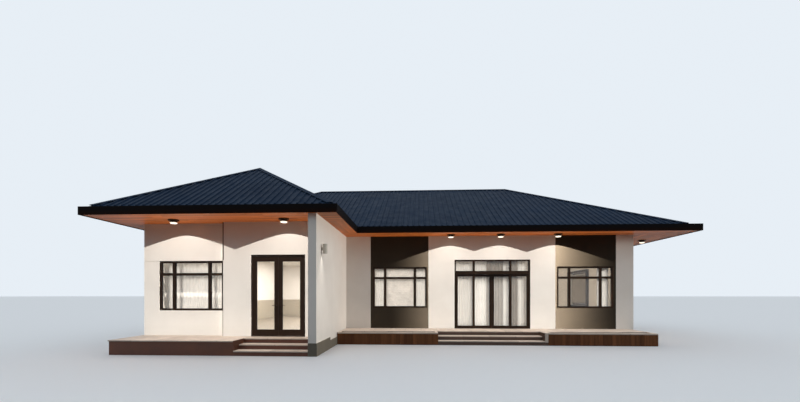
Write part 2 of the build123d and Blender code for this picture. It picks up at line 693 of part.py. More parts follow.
def pull(side):
    """Upright pull on the room side of a sliding panel's meeting stile."""
    edges = moving_panel_edges(side)
    x = (edges[0] if side > 0 else edges[1]) + side * PANEL_STILE / 2
    face = MOVING_Y + PANEL_THICK
    x0, x1 = x - PULL_SIZE / 2, x + PULL_SIZE / 2
    z0, z1 = HANDLE_Z - PULL_LENGTH / 2, HANDLE_Z + PULL_LENGTH / 2
    bar = block(x0, x1, face, face + PULL_STAND, z0, z1)
    return bar - block(x0, x1, face, face + PULL_STAND - PULL_SIZE, z0 + PULL_SIZE, z1 - PULL_SIZE)


def slider_panel(side):
    x0, x1 = moving_panel_edges(side)
    panel = slider_ring(x0, x1, MOVING_Y, SLIDER_BASE + RUN_GAP, SLIDER_BAR_Z - RUN_GAP,
                        PANEL_BOTTOM_RAIL - RUN_GAP)
    panel -= track_rail(SLIDER_BASE, SLIDER_BASE + RAIL_HEIGHT, FIT_GAP)
    return panel + pull(side)


def slider_glass(side):
    x0, x1 = moving_panel_edges(side)
    return panel_glass(x0, x1, MOVING_Y, SLIDER_BASE + RUN_GAP, SLIDER_BAR_Z - RUN_GAP,
                       PANEL_BOTTOM_RAIL - RUN_GAP)


# Roof

FRONT_LEFT, WING_CORNER, VALLEY_FOOT, FRONT_RIGHT, BACK_RIGHT, BACK_LEFT = eave_outline(WING_GUTTER, MAIN_GUTTER)
WING_HALF = (WING_CORNER[0] - FRONT_LEFT[0]) / 2
WING_RIDGE_X = WING_CORNER[0] - WING_HALF
MAIN_HALF = (BACK_RIGHT[1] - FRONT_RIGHT[1]) / 2
MAIN_RIDGE_Y = FRONT_RIGHT[1] + MAIN_HALF
WING_RISE = WING_HALF * math.tan(WING_PITCH)
MAIN_RISE = MAIN_HALF * math.tan(MAIN_PITCH)
APEX = (WING_RIDGE_X, FRONT_LEFT[1] + WING_HALF)
JOIN = (WING_RIDGE_X, VALLEY_FOOT[1] + WING_RISE / math.tan(MAIN_PITCH))
RIDGE_LEFT = (FRONT_LEFT[0] + MAIN_RISE / math.tan(WING_PITCH), MAIN_RIDGE_Y)
RIDGE_RIGHT = (FRONT_RIGHT[0] - MAIN_HALF, MAIN_RIDGE_Y)


class Slope:
    """A roof plane that rises from an eave line; the eave runs with the house on its left."""

    def __init__(self, start, end, pitch, outline):
        length = math.dist(start, end)
        along = ((end[0] - start[0]) / length, (end[1] - start[1]) / length)
        rise = (-along[1] * math.cos(pitch), along[0] * math.cos(pitch), math.sin(pitch))
        normal = Vector(*along, 0).cross(Vector(*rise))
        middle = ((start[0] + end[0]) / 2, (start[1] + end[1]) / 2, EAVE_Z)
        self.plane = Plane(origin=middle, x_dir=(*along, 0), z_dir=normal)
        self.outline = outline
        self.reach = max(abs((x - middle[0]) * along[0] + (y - middle[1]) * along[1]) for x, y in outline)

    def cut(self, solid, outline):
        """Place a solid drawn flat on the slope and trim it to an outline in plan."""
        top = EAVE_Z + max(WING_RISE, MAIN_RISE) + OVERCUT
        return (self.plane.location * solid) & prism(outline, EAVE_Z - OVERCUT, top)

    def layer(self, low, high, outline):
        """Flat layer between two heights over the sheet."""
        size = 4 * EAVE_HALF_LENGTH
        return self.cut(Pos(0, 0, (low + high) / 2) * Box(size, size, high - low), outline)


def sheet_profile(reach):
    """Section of the ribbed sheet across the slope, ribs evenly spaced about the eave's middle."""
    count = int(reach / RIB_SPACING)
    half = (count + 1) * RIB_SPACING
    points = [(-half, -SHEET), (-half, 0)]
    for i in range(-count, count + 1):
        x = i * RIB_SPACING
        points += [(x - RIB_BASE / 2, 0), (x - RIB_TOP / 2, RIB_HEIGHT),
                   (x + RIB_TOP / 2, RIB_HEIGHT), (x + RIB_BASE / 2, 0)]
    return points + [(half, 0), (half, -SHEET)]


def slopes():
    """The six roof planes by name."""
    return {
        "roof_wing_front": Slope(FRONT_LEFT, WING_CORNER, WING_PITCH, [FRONT_LEFT, WING_CORNER, APEX]),
        "roof_wing_right": Slope(WING_CORNER, VALLEY_FOOT, WING_PITCH,
                                 [WING_CORNER, VALLEY_FOOT, JOIN, APEX]),
        "roof_main_front": Slope(VALLEY_FOOT, FRONT_RIGHT, MAIN_PITCH,
                                 [VALLEY_FOOT, FRONT_RIGHT, RIDGE_RIGHT, RIDGE_LEFT, JOIN]),
        "roof_right": Slope(FRONT_RIGHT, BACK_RIGHT, MAIN_PITCH, [FRONT_RIGHT, BACK_RIGHT, RIDGE_RIGHT]),
        "roof_back": Slope(BACK_RIGHT, BACK_LEFT, MAIN_PITCH,
                           [BACK_RIGHT, BACK_LEFT, RIDGE_LEFT, RIDGE_RIGHT]),
        "roof_left": Slope(BACK_LEFT, FRONT_LEFT, WING_PITCH,
                           [BACK_LEFT, FRONT_LEFT, APEX, JOIN, RIDGE_LEFT]),
    }


def roof_sheet(slope):
    points = [(x, 0, z) for x, z in sheet_profile(slope.reach)]
    run = 2 * EAVE_HALF_LENGTH
    profile = make_face(Polyline(*points, close=True))
    sheet = Pos(0, -OVERCUT, 0) * extrude(profile, amount=run, dir=(0, 1, 0))
    return slope.cut(sheet, slope.outline)


def middle_of(outline):
    return (sum(x for x, _ in outline) / len(outline), sum(y for _, y in outline) / len(outline))


def cap_half(slope, a, b):
    """Half of a ridge or hip cap, lying on the ribs of one slope beside the line a-b."""
    inside = middle_of(slope.outline)
    length = math.dist(a, b)
    along = ((b[0] - a[0]) / length, (b[1] - a[1]) / length)
    side = (along[1], -along[0])
    if (inside[0] - a[0]) * side[0] + (inside[1] - a[1]) * side[1] < 0:
        side = (-side[0], -side[1])
    strip = [a, b, (b[0] + side[0] * CAP_WIDTH, b[1] + side[1] * CAP_WIDTH),
             (a[0] + side[0] * CAP_WIDTH, a[1] + side[1] * CAP_WIDTH)]
    return slope.layer(RIB_HEIGHT, RIB_HEIGHT + CAP_THICK, strip) & prism(slope.outline, 0, 2 * EAVE_Z)


def ridge_caps(planes):
    """Folded caps on every hip and ridge, one cap per line."""
    wing_front, wing_right = planes["roof_wing_front"], planes["roof_wing_right"]
    main_front, right = planes["roof_main_front"], planes["roof_right"]
    back, left = planes["roof_back"], planes["roof_left"]
    lines = [(FRONT_LEFT, APEX, left, wing_front), (WING_CORNER, APEX, wing_front, wing_right),
             (APEX, JOIN, left, wing_right), (JOIN, RIDGE_LEFT, left, main_front),
             (RIDGE_LEFT, RIDGE_RIGHT, back, main_front), (FRONT_RIGHT, RIDGE_RIGHT, main_front, right),
             (BACK_RIGHT, RIDGE_RIGHT, right, back), (BACK_LEFT, RIDGE_LEFT, back, left)]
    caps = []
    for a, b, first, second in lines:
        caps += [cap_half(slope, a, b) for slope in (first, second)]
    return Compound(caps)


def eave_solid(wing_inset, main_inset, z0, z1):
    return prism(eave_outline(wing_inset, main_inset), z0, z1)


def fascia():
    """Board round the eaves, a box gutter behind it and the board that carries the sheet's edge."""
    sheet_under = min(EAVE_Z + SHEET_LIP * math.tan(pitch) - SHEET / math.cos(pitch)
                      for pitch in (WING_PITCH, MAIN_PITCH))
    trough = sheet_under - GUTTER_DEPTH
    wing, main = WING_GUTTER + SHEET_LIP, MAIN_GUTTER + SHEET_LIP
    band = eave_solid(0, 0, FASCIA_BOTTOM, SOFFIT_Z + LIP_RISE)
    band -= eave_solid(FASCIA_THICK, FASCIA_THICK, FASCIA_BOTTOM, SOFFIT_Z + LIP_RISE)
    floor = eave_solid(FASCIA_THICK, FASCIA_THICK, trough, trough + GUTTER_METAL)
    floor -= eave_solid(wing, main, trough, trough + GUTTER_METAL)
    board = eave_solid(wing, main, SOFFIT_Z + SOFFIT_THICK, sheet_under)
    board -= eave_solid(wing + FASCIA_THICK, main + FASCIA_THICK, SOFFIT_Z + SOFFIT_THICK, sheet_under)
    return band + floor + board


def soffit():
    """Boards under the eaves, from the fascia to the walls."""
    whole = eave_solid(FASCIA_THICK, FASCIA_THICK, SOFFIT_Z, SOFFIT_Z + SOFFIT_THICK)
    return whole - prism(wall_outline(), SOFFIT_Z, SOFFIT_Z + SOFFIT_THICK)


# Lights

def downlights():
    """Round surface lights under the eaves, each a flat canopy with a narrower drum below it."""
    wing_y = -EAVE_HALF_DEPTH + WING_LIGHT_SETBACK
    main_y = MAIN_EAVE_FRONT + MAIN_LIGHT_SETBACK
    places = [(x, wing_y) for x in WING_LIGHTS] + [(x, main_y) for x in MAIN_LIGHTS]
    places.append((EAVE_HALF_LENGTH - SIDE_LIGHT_SETBACK, SIDE_LIGHT_Y))
    canopy = Pos(0, 0, -CANOPY_THICK / 2) * Cylinder(CANOPY_R, CANOPY_THICK)
    light = canopy + Pos(0, 0, -CANOPY_THICK - DRUM_DROP / 2) * Cylinder(DRUM_R, DRUM_DROP)
    return Compound([Pos(x, y, SOFFIT_Z) * light for x, y in places])


def sconce():
    """Upright cylinder light on the outer face of the fin wall, held by a stub."""
    x = WING_RIGHT + SCONCE_STAND + SCONCE_R
    body = Pos(x, SCONCE_Y, SCONCE_Z) * Cylinder(SCONCE_R, SCONCE_HEIGHT)
    return body + block(WING_RIGHT, x, SCONCE_Y - SCONCE_STAND / 2, SCONCE_Y + SCONCE_STAND / 2,
                        SCONCE_Z - SCONCE_STAND, SCONCE_Z + SCONCE_STAND)


def build():
    """Every sub-part by name."""
    planes = slopes()
    planter_left = (WING_RIGHT + PLINTH_PROUD, STEPS_LEFT)
    planter_right = (STEPS_RIGHT + STRINGER, PORCH_RIGHT)
    parts = {
        "foundation": foundation(),
        "floor": floor_slab(),
        "ceiling": ceiling(),
        "terrace": terrace(),
        "porch": porch(),
        "planter_left": planter(*planter_left),
        "planter_right": planter(*planter_right),
        "wall_wing_front": wing_front_wall(),
        "wall_entry_left": entry_left_wall(),
        "wall_entry_right": entry_right_wall(),
        "wall_entry_head": entry_head_wall(),
        "wall_fin": fin_wall(),
        "wall_wing_right": wing_right_wall(),
        "wall_bay_left": bay_wall(BAY_LEFT_START, BAY_LEFT_END, BAY_LEFT_WINDOW),
        "wall_slider_left": slider_side_wall(BAY_LEFT_END, SLIDER_X),
        "wall_slider_head": slider_head_wall(),
        "wall_slider_right": slider_side_wall(SLIDER_X + SLIDER_WIDTH, BAY_RIGHT_START),
        "wall_bay_right": bay_wall(BAY_RIGHT_START, BAY_RIGHT_END, BAY_RIGHT_WINDOW),
        "wall_right": right_wall(),
        "wall_back": back_wall(),
        "wall_left": left_wall(),
        "window_frames_front": frames(front_windows()),
        "window_frames_rear": frames(rear_windows()),
        "window_glass": Compound(panes(front_windows()) + panes(rear_windows()) + slider_fixed_panes()),
        "entry_frame": entry_frame(),
        "entry_leaf_left": entry_leaf(-1),
        "entry_leaf_right": entry_leaf(1),
        "entry_glass_left": entry_glass(-1),
        "entry_glass_right": entry_glass(1),
        "slider_frame": slider_frame(),
        "slider_panel_left": slider_panel(-1),
        "slider_panel_right": slider_panel(1),
        "slider_glass_left": slider_glass(-1),
        "slider_glass_right": slider_glass(1),
        "soffit": soffit(),
        "fascia": fascia(),
        "ridge_caps": ridge_caps(planes),
        "downlights": downlights(),
        "sconce": sconce(),
    }
    for name, slope in planes.items():
        parts[name] = roof_sheet(slope)
    return parts


os.makedirs("parts", exist_ok=True)
for name, shape in build().items():
    export_step(shape, f"parts/{name}.step")
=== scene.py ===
"""Looks of the single-storey bungalow: finishes, boards, paving, beads, curtains and lights.

Metres, +Z up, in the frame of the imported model. The front faces -Y.
"""
import math
import random

import bmesh
import bpy
import mathutils
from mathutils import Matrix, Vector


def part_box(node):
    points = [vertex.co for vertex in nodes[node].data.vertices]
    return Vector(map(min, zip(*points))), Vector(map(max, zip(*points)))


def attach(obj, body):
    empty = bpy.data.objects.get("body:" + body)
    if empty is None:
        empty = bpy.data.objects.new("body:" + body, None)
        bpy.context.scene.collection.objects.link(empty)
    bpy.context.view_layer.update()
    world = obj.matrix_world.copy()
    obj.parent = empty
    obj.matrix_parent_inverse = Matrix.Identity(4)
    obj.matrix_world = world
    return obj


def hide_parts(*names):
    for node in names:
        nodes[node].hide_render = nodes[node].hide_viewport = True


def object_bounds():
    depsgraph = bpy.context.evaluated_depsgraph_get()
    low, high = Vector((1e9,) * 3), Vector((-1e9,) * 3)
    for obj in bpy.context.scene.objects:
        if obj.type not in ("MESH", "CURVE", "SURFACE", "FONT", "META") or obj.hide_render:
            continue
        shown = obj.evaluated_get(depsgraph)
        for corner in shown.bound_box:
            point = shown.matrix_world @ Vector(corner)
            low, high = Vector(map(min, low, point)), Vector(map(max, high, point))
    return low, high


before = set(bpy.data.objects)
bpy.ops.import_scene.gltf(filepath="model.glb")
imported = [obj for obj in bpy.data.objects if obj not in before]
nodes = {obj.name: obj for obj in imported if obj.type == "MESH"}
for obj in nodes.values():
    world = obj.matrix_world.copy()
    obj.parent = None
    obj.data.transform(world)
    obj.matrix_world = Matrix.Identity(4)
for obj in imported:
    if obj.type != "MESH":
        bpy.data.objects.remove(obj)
cad_low, cad_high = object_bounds()
chance = random.Random(7)

# Photograph's frame and camera
IMAGE_WIDTH = 800
IMAGE_HEIGHT = 402
FOCAL_PIXELS = 382.5033
HORIZON_ROW = 295.3508
CAMERA_PLACE = (-0.14, -17.32, 1.6657)
CAMERA_TURN = 0.0495
SENSOR = 36.0
FARTHEST = 2000.0


def low(node):
    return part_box(node)[0]


def high(node):
    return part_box(node)[1]


# Lines of the house, read from the frame
FLOOR = high("floor").z
SOFFIT_Z = low("soffit").z
SOFFIT_TOP = high("soffit").z
WINDOW_HEAD = high("window_frames_front").z
WALL_LEFT = low("wall_left").x
WALL_RIGHT = high("wall_right").x
WALL_BACK = high("wall_back").y
WING_FRONT = low("wall_wing_front").y
WING_RIGHT = high("wall_fin").x
MAIN_FRONT = low("wall_slider_left").y
ENTRY_LEFT = low("wall_entry_left").x
ENTRY_FACE = low("wall_entry_left").y
FIN_LEFT = low("wall_fin").x
FIN_FRONT = low("wall_fin").y
WING_GUTTER = low("roof_wing_front").x - cad_low.x
MAIN_GUTTER = cad_high.x - high("roof_right").x
WING_EAVE_RIGHT = high("roof_wing_front").x + WING_GUTTER
MAIN_EAVE_FRONT = low("roof_main_front").y - MAIN_GUTTER
WALL = high("wall_left").x - WALL_LEFT
LEFT_INNER = WALL_LEFT + WALL
RIGHT_INNER = WALL_RIGHT - WALL
BACK_INNER = WALL_BACK - WALL
WING_INNER = WING_FRONT + WALL
MAIN_INNER = MAIN_FRONT + WALL


# Materials

SPECULAR = "Specular IOR Level"
SPLASH_HEIGHT = 0.35
# From a little below to this far above the soffit's level, the fascia's painted warm reflection of the
# soffit fades out
FASCIA_DROP = 0.02
FASCIA_REFLECTION_RISE = 0.12


def scaled(colour, share):
    """A colour made darker or lighter."""
    return tuple(share * c for c in colour)


class Wires:
    """Short ways to wire the nodes of a material, a lamp or the sky."""

    def __init__(self, tree):
        self.tree = tree
        self.place = None

    def add(self, kind, **settings):
        node = self.tree.nodes.new(kind)
        for key, value in settings.items():
            setattr(node, key, value)
        return node

    def wire(self, source, target):
        self.tree.links.new(source, target)

    def feed(self, socket, value):
        """Wire a socket to another one, or set it to a plain value."""
        if isinstance(value, bpy.types.NodeSocket):
            self.wire(value, socket)
        elif socket.type == "RGBA" and len(value) == 3:
            socket.default_value = (*value, 1.0)
        else:
            socket.default_value = value

    def maths(self, operation, a, b=0.0, c=0.0):
        node = self.add("ShaderNodeMath", operation=operation)
        for socket, value in zip(node.inputs, (a, b, c)):
            self.feed(socket, value)
        return node.outputs[0]

    def axis(self, name, source=None):
        node = self.add("ShaderNodeSeparateXYZ")
        self.wire(source or self.place, node.inputs[0])
        return node.outputs[name]

    def range(self, value, low_in, high_in, low_out=0.0, high_out=1.0):
        """A value carried from one range over to another and held at its ends."""
        node = self.add("ShaderNodeMapRange", clamp=True)
        for key, given in zip(("Value", "From Min", "From Max", "To Min", "To Max"),
                              (value, low_in, high_in, low_out, high_out)):
            self.feed(node.inputs[key], given)
        return node.outputs[0]


class Finish(Wires):
    """A Principled material, patterned in the piece's own coordinates."""

    def __init__(self, name, colour, roughness):
        self.material = bpy.data.materials.new(name)
        self.material.use_nodes = True
        super().__init__(self.material.node_tree)
        self.shader = self.tree.nodes["Principled BSDF"]
        self.set("Base Color", (*colour, 1.0))
        self.set("Roughness", roughness)
        self.place = self.add("ShaderNodeTexCoord").outputs["Object"]

    def set(self, name, value):
        """Value of the shader that is the same all over the surface."""
        self.shader.inputs[name].default_value = value

    def attribute(self, name, output="Vector"):
        return self.add("ShaderNodeAttribute", attribute_name=name).outputs[output]

    def stretched(self, scale, source=None):
        node = self.add("ShaderNodeMapping")
        self.wire(source or self.place, node.inputs["Vector"])
        node.inputs["Scale"].default_value = scale
        return node.outputs["Vector"]

    def noise(self, scale, detail=4.0, source=None, rough=0.55):
        """Noise; scale is about the number of its features to the metre."""
        node = self.add("ShaderNodeTexNoise")
        self.wire(source or self.place, node.inputs["Vector"])
        node.inputs["Scale"].default_value = scale
        node.inputs["Detail"].default_value = detail
        node.inputs["Roughness"].default_value = rough
        return node.outputs["Fac"]

    def blend(self, share, first, second, how="MIX"):
        """Two colours mixed; the Mix node takes colours at inputs 6 and 7 and gives one at output 2."""
        node = self.add("ShaderNodeMix", data_type="RGBA", blend_type=how)
        self.feed(node.inputs[0], share)
        self.feed(node.inputs[6], first)
        self.feed(node.inputs[7], second)
        return node.outputs[2]

    def toned(self, colour, darkest, lightest):
        """A colour made darker or lighter by the tone that each box of a mesh carries."""
        tone = self.range(self.attribute("tone", "Fac"), 0.0, 1.0, darkest, lightest)
        tint = self.add("ShaderNodeCombineColor")
        for socket in tint.inputs[:3]:
            self.wire(tone, socket)
        return self.blend(1.0, colour, tint.outputs[0], "MULTIPLY")

    def colour(self, value):
        self.wire(value, self.shader.inputs["Base Color"])

    def roughness(self, value):
        self.wire(value, self.shader.inputs["Roughness"])

    def bump(self, height, strength, distance):
        """Bump over any bump that the surface already has."""
        node = self.add("ShaderNodeBump")
        self.feed(node.inputs["Height"], height)
        node.inputs["Strength"].default_value = strength
        node.inputs["Distance"].default_value = distance
        earlier = self.shader.inputs["Normal"].links
        if earlier:
            self.wire(earlier[0].from_socket, node.inputs["Normal"])
        self.wire(node.outputs["Normal"], self.shader.inputs["Normal"])


def render_finish(name, colour, shade, roughness=0.82, shine=0.5):
    """Fine sand render with soft mottling, faint runs and a little dust near the floor's level."""
    finish = Finish(name, colour, roughness)
    finish.set(SPECULAR, shine)
    mottle = finish.range(finish.noise(0.9, 5.0), 0.35, 0.7)
    runs = finish.noise(1.0, 3.0, finish.stretched((2.2, 2.2, 0.12)))
    tone = finish.blend(mottle, colour, shade)
    tone = finish.blend(finish.range(runs, 0.55, 0.8, 0.0, 0.5), tone, shade)
    dust = finish.range(finish.axis("Z"), FLOOR, FLOOR + SPLASH_HEIGHT, 0.35, 0.0)
    finish.colour(finish.blend(dust, tone, scaled(colour, 0.72)))
    finish.bump(finish.noise(240.0, 3.0), 0.25, 0.0012)
    finish.bump(finish.noise(14.0, 4.0), 0.2, 0.003)
    return finish.material


def roof_finish():
    """Dark navy coated steel with chalky clouds and fine pale specks."""
    finish = Finish("roof_coat", (0.008, 0.022, 0.046), 0.6)
    finish.set(SPECULAR, 0.06)
    chalk = finish.range(finish.noise(0.7, 6.0), 0.3, 0.75)
    tone = finish.blend(chalk, (0.0055, 0.0185, 0.044), (0.011, 0.028, 0.060))
    specks = finish.range(finish.noise(60.0, 2.0), 0.62, 0.8, 0.0, 0.4)
    finish.colour(finish.blend(specks, tone, (0.026, 0.040, 0.058)))
    finish.roughness(finish.range(finish.noise(3.0, 5.0), 0.3, 0.7, 0.52, 0.68))
    finish.bump(finish.noise(500.0, 2.0), 0.1, 0.0004)
    return finish.material


def fascia_finish():
    """Near-black folded sheet with a painted warm reflection of the soffit towards its lower edge."""
    finish = Finish("fascia_coat", (0.008, 0.004, 0.003), 0.65)
    finish.set(SPECULAR, 0.04)
    # Painted reflection of the soffit: warm red-brown at the lower edge, near-black higher up
    height = finish.range(finish.axis("Z"), SOFFIT_Z - FASCIA_DROP, SOFFIT_Z + FASCIA_REFLECTION_RISE)
    base = finish.blend(height, (0.014, 0.004, 0.001), (0.006, 0.005, 0.006))
    cloud = finish.range(finish.noise(2.5, 4.0), 0.35, 0.7, 0.0, 0.5)
    finish.colour(finish.blend(cloud, base, (0.010, 0.006, 0.004)))
    finish.bump(finish.noise(400.0, 2.0), 0.1, 0.0004)
    return finish.material


def wood_finish(name, light, dark, roughness, shine=0.5):
    """Boards with long grain; each board carries its own place and tone."""
    finish = Finish(name, light, roughness)
    finish.set(SPECULAR, shine)
    place = finish.attribute("grain")
    fibres = finish.noise(1.0, 6.0, finish.stretched((1.6, 42.0, 42.0), place), 0.65)
    bands = finish.noise(1.0, 3.0, finish.stretched((0.5, 9.0, 9.0), place))
    tone = finish.blend(finish.range(bands, 0.3, 0.7), light, dark)
    tone = finish.blend(finish.range(fibres, 0.45, 0.72, 0.0, 0.6), tone, dark)
    finish.colour(finish.toned(tone, 0.72, 1.22))
    finish.roughness(finish.range(fibres, 0.3, 0.7, roughness - 0.06, roughness + 0.1))
    finish.bump(fibres, 0.3, 0.0010)
    return finish.material


def stone_finish(name, light, dark, roughness=0.6):
    """Honed stone slabs: soft clouds, fine grains and a tone for each slab."""
    finish = Finish(name, light, roughness)
    place = finish.attribute("grain")
    cloud = finish.range(finish.noise(3.0, 6.0, place), 0.3, 0.7)
    tone = finish.blend(cloud, light, dark)
    specks = finish.range(finish.noise(130.0, 2.0, place), 0.58, 0.72, 0.0, 0.35)
    tone = finish.blend(specks, tone, scaled(dark, 0.6))
    finish.colour(finish.toned(tone, 0.86, 1.1))
    finish.bump(finish.noise(90.0, 4.0, place), 0.2, 0.0015)
    return finish.material


def riser_finish(name, colour, shade):
    """Brown body under the paving, with soft clouds and paler wear."""
    finish = Finish(name, colour, 0.55)
    cloud = finish.range(finish.noise(2.2, 6.0), 0.3, 0.72)
    tone = finish.blend(cloud, colour, shade)
    wear = finish.range(finish.noise(25.0, 3.0), 0.6, 0.8, 0.0, 0.4)
    finish.colour(finish.blend(wear, tone, scaled(colour, 1.7)))
    finish.bump(finish.noise(120.0, 3.0), 0.2, 0.001)
    return finish.material


def coat_finish(name, colour, roughness=0.45):
    """Powder coat or rubber: fine orange peel and a faint change of tone."""
    finish = Finish(name, colour, roughness)
    finish.set(SPECULAR, 0.12)
    cloud = finish.range(finish.noise(5.0, 4.0), 0.3, 0.7)
    finish.colour(finish.blend(cloud, colour, scaled(colour, 1.35)))
    finish.roughness(finish.range(finish.noise(9.0, 3.0), 0.3, 0.7, roughness - 0.05, roughness + 0.08))
    finish.bump(finish.noise(900.0, 2.0), 0.08, 0.0003)
    return finish.material


def glass_finish(name, tint, alpha):
    """Clear glazing with a slight waviness; its pale base colour, in faint clouds, is a painted reflection
    over the panes.
    """
    finish = Finish(name, tint, 0.02)
    finish.set("Alpha", alpha)
    finish.set("IOR", 1.52)
    finish.set(SPECULAR, 1.0)
    cloud = finish.range(finish.noise(1.2, 2.0), 0.3, 0.7)
    # Painted reflection, faintly uneven
    finish.colour(finish.blend(cloud, tint, scaled(tint, 0.9)))
    finish.bump(finish.noise(1.6, 1.0), 0.05, 0.002)
    return finish.material


def cloth_finish(name, light, shade):
    """Curtain cloth with a fine weave and soft clouds of painted fold shade between its light and its
    shaded colour.
    """
    finish = Finish(name, light, 0.9)
    weave = finish.noise(1.0, 2.0, finish.stretched((900.0, 900.0, 500.0)))
    # Painted shade of the folds, in soft clouds
    painted_fold_shade = finish.range(finish.noise(3.0, 3.0), 0.3, 0.7)
    finish.colour(finish.blend(painted_fold_shade, light, shade))
    finish.bump(weave, 0.2, 0.0006)
    finish.set("Sheen Weight", 0.2)
    return finish.material


def glow_finish(name, colour, strength):
    """Lit cover of a lamp, its light faintly uneven."""
    finish = Finish(name, colour, 0.3)
    cloud = finish.range(finish.noise(30.0, 2.0), 0.2, 0.8)
    warm = finish.blend(cloud, colour, scaled(colour, 0.95))
    finish.colour(warm)
    finish.wire(warm, finish.shader.inputs["Emission Color"])
    finish.set("Emission Strength", strength)
    return finish.material


WALL_COAT = render_finish("wall_coat", (0.765, 0.73, 0.68), (0.71, 0.67, 0.62))
DARK_COAT = render_finish("dark_coat", (0.040, 0.031, 0.021), (0.031, 0.024, 0.017), 0.8, 0.1)
PLINTH_COAT = render_finish("plinth_coat", (0.155, 0.138, 0.108), (0.12, 0.106, 0.084), 0.82, 0.2)
ROOM_COAT = render_finish("room_coat", (0.84, 0.82, 0.77), (0.81, 0.79, 0.74))
ROOF_COAT = roof_finish()
FASCIA_COAT = fascia_finish()
SOFFIT_WOOD = wood_finish("soffit_wood", (0.62, 0.185, 0.034), (0.40, 0.100, 0.016), 0.5)
PLANTER_WOOD = wood_finish("planter_wood", (0.215, 0.084, 0.034), (0.115, 0.044, 0.018), 0.7, 0.15)
PAVING_STONE = stone_finish("paving_stone", (0.66, 0.55, 0.46), (0.54, 0.44, 0.36))
FLOOR_STONE = stone_finish("floor_stone", (0.25, 0.21, 0.155), (0.22, 0.18, 0.135), 0.3)
TERRACE_BODY = riser_finish("terrace_body", (0.140, 0.046, 0.022), (0.086, 0.030, 0.016))
PORCH_BODY = riser_finish("porch_body", (0.100, 0.052, 0.033), (0.062, 0.034, 0.023))
FRAME_COAT = coat_finish("frame_coat", (0.013, 0.0065, 0.0034))
LAMP_COAT = coat_finish("lamp_coat", (0.045, 0.030, 0.020))
SCONCE_COAT = coat_finish("sconce_coat", (0.42, 0.39, 0.34))
GASKET = coat_finish("gasket_rubber", (0.010, 0.010, 0.010), 0.6)
# Pale base colour of the panes: painted reflection
PANE = glass_finish("pane_glass", (0.80, 0.80, 0.78), 0.16)
CLOTH = cloth_finish("sheer_cloth", (0.88, 0.85, 0.80), (0.78, 0.75, 0.70))
GREY_CLOTH = cloth_finish("grey_cloth", (0.34, 0.30, 0.25), (0.26, 0.23, 0.19))
SLAT_COAT = coat_finish("slat_coat", (0.58, 0.55, 0.51))
DADO_COAT = render_finish("dado_coat", (0.37, 0.32, 0.235), (0.34, 0.29, 0.215), 0.6)
LENS = glow_finish("lamp_lens", (1.0, 0.88, 0.72), 2.2)
RAIL_COAT = coat_finish("rail_coat", (0.55, 0.53, 0.50))

FINISHES = {
    "foundation": PLINTH_COAT, "floor": FLOOR_STONE, "ceiling": ROOM_COAT,
    "terrace": TERRACE_BODY, "porch": PORCH_BODY,
    "planter_left": PLANTER_WOOD, "planter_right": PLANTER_WOOD,
    "wall_bay_left": DARK_COAT, "wall_bay_right": DARK_COAT,
    "fascia": FASCIA_COAT, "ridge_caps": ROOF_COAT,
    "downlights": LAMP_COAT, "sconce": SCONCE_COAT,
}


def finish_of(node):
    """Material of a node by its name, or by words in its name."""
    if node in FINISHES:
        return FINISHES[node]
    if node.startswith("wall_"):
        return WALL_COAT
    if node.startswith("roof_"):
        return ROOF_COAT
    if "glass" in node:
        return PANE
    return FRAME_COAT


def dress_nodes():
    for name, piece in nodes.items():
        piece.data.materials.clear()
        piece.data.materials.append(finish_of(name))


# Meshes

EDGE = 0.002
STONE_EDGE = 0.003
BOARD_EDGE = 0.003
WINDOW_EDGE = 0.003
FRAME_SEGMENTS = 2
CLEAR = 0.001
SAME_PLACE = 1e-5
GRAIN_SPREAD = 50.0
BOX_FACES = ((0, 2, 3, 1), (4, 5, 7, 6), (0, 1, 5, 4), (2, 6, 7, 3), (0, 4, 6, 2), (1, 3, 7, 5))


def soften(piece, width, segments=1):
    """Small rounding on the sharp edges of a piece."""
    rounding = piece.modifiers.new("rounding", "BEVEL")
    rounding.width = width
    rounding.segments = segments
    rounding.limit_method = "ANGLE"


def soften_frames():
    """Rounded edges on the carried-over frames of the doors and windows."""
    for name in ("entry_frame", "entry_leaf_left", "entry_leaf_right",
                 "slider_frame", "slider_panel_left", "slider_panel_right"):
        soften(nodes[name], EDGE, FRAME_SEGMENTS)
    for name in ("window_frames_front", "window_frames_rear"):
        soften(nodes[name], WINDOW_EDGE, FRAME_SEGMENTS)


def mesh_of(name, points, faces, smooth=False):
    mesh = bpy.data.meshes.new(name)
    mesh.from_pydata(points, [], faces)
    if smooth:
        for face in mesh.polygons:
            face.use_smooth = True
    return mesh


def piece_from(mesh, name, finish, body="house"):
    piece = bpy.data.objects.new(name, mesh)
    bpy.context.scene.collection.objects.link(piece)
    mesh.materials.append(finish)
    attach(piece, body)
    return piece


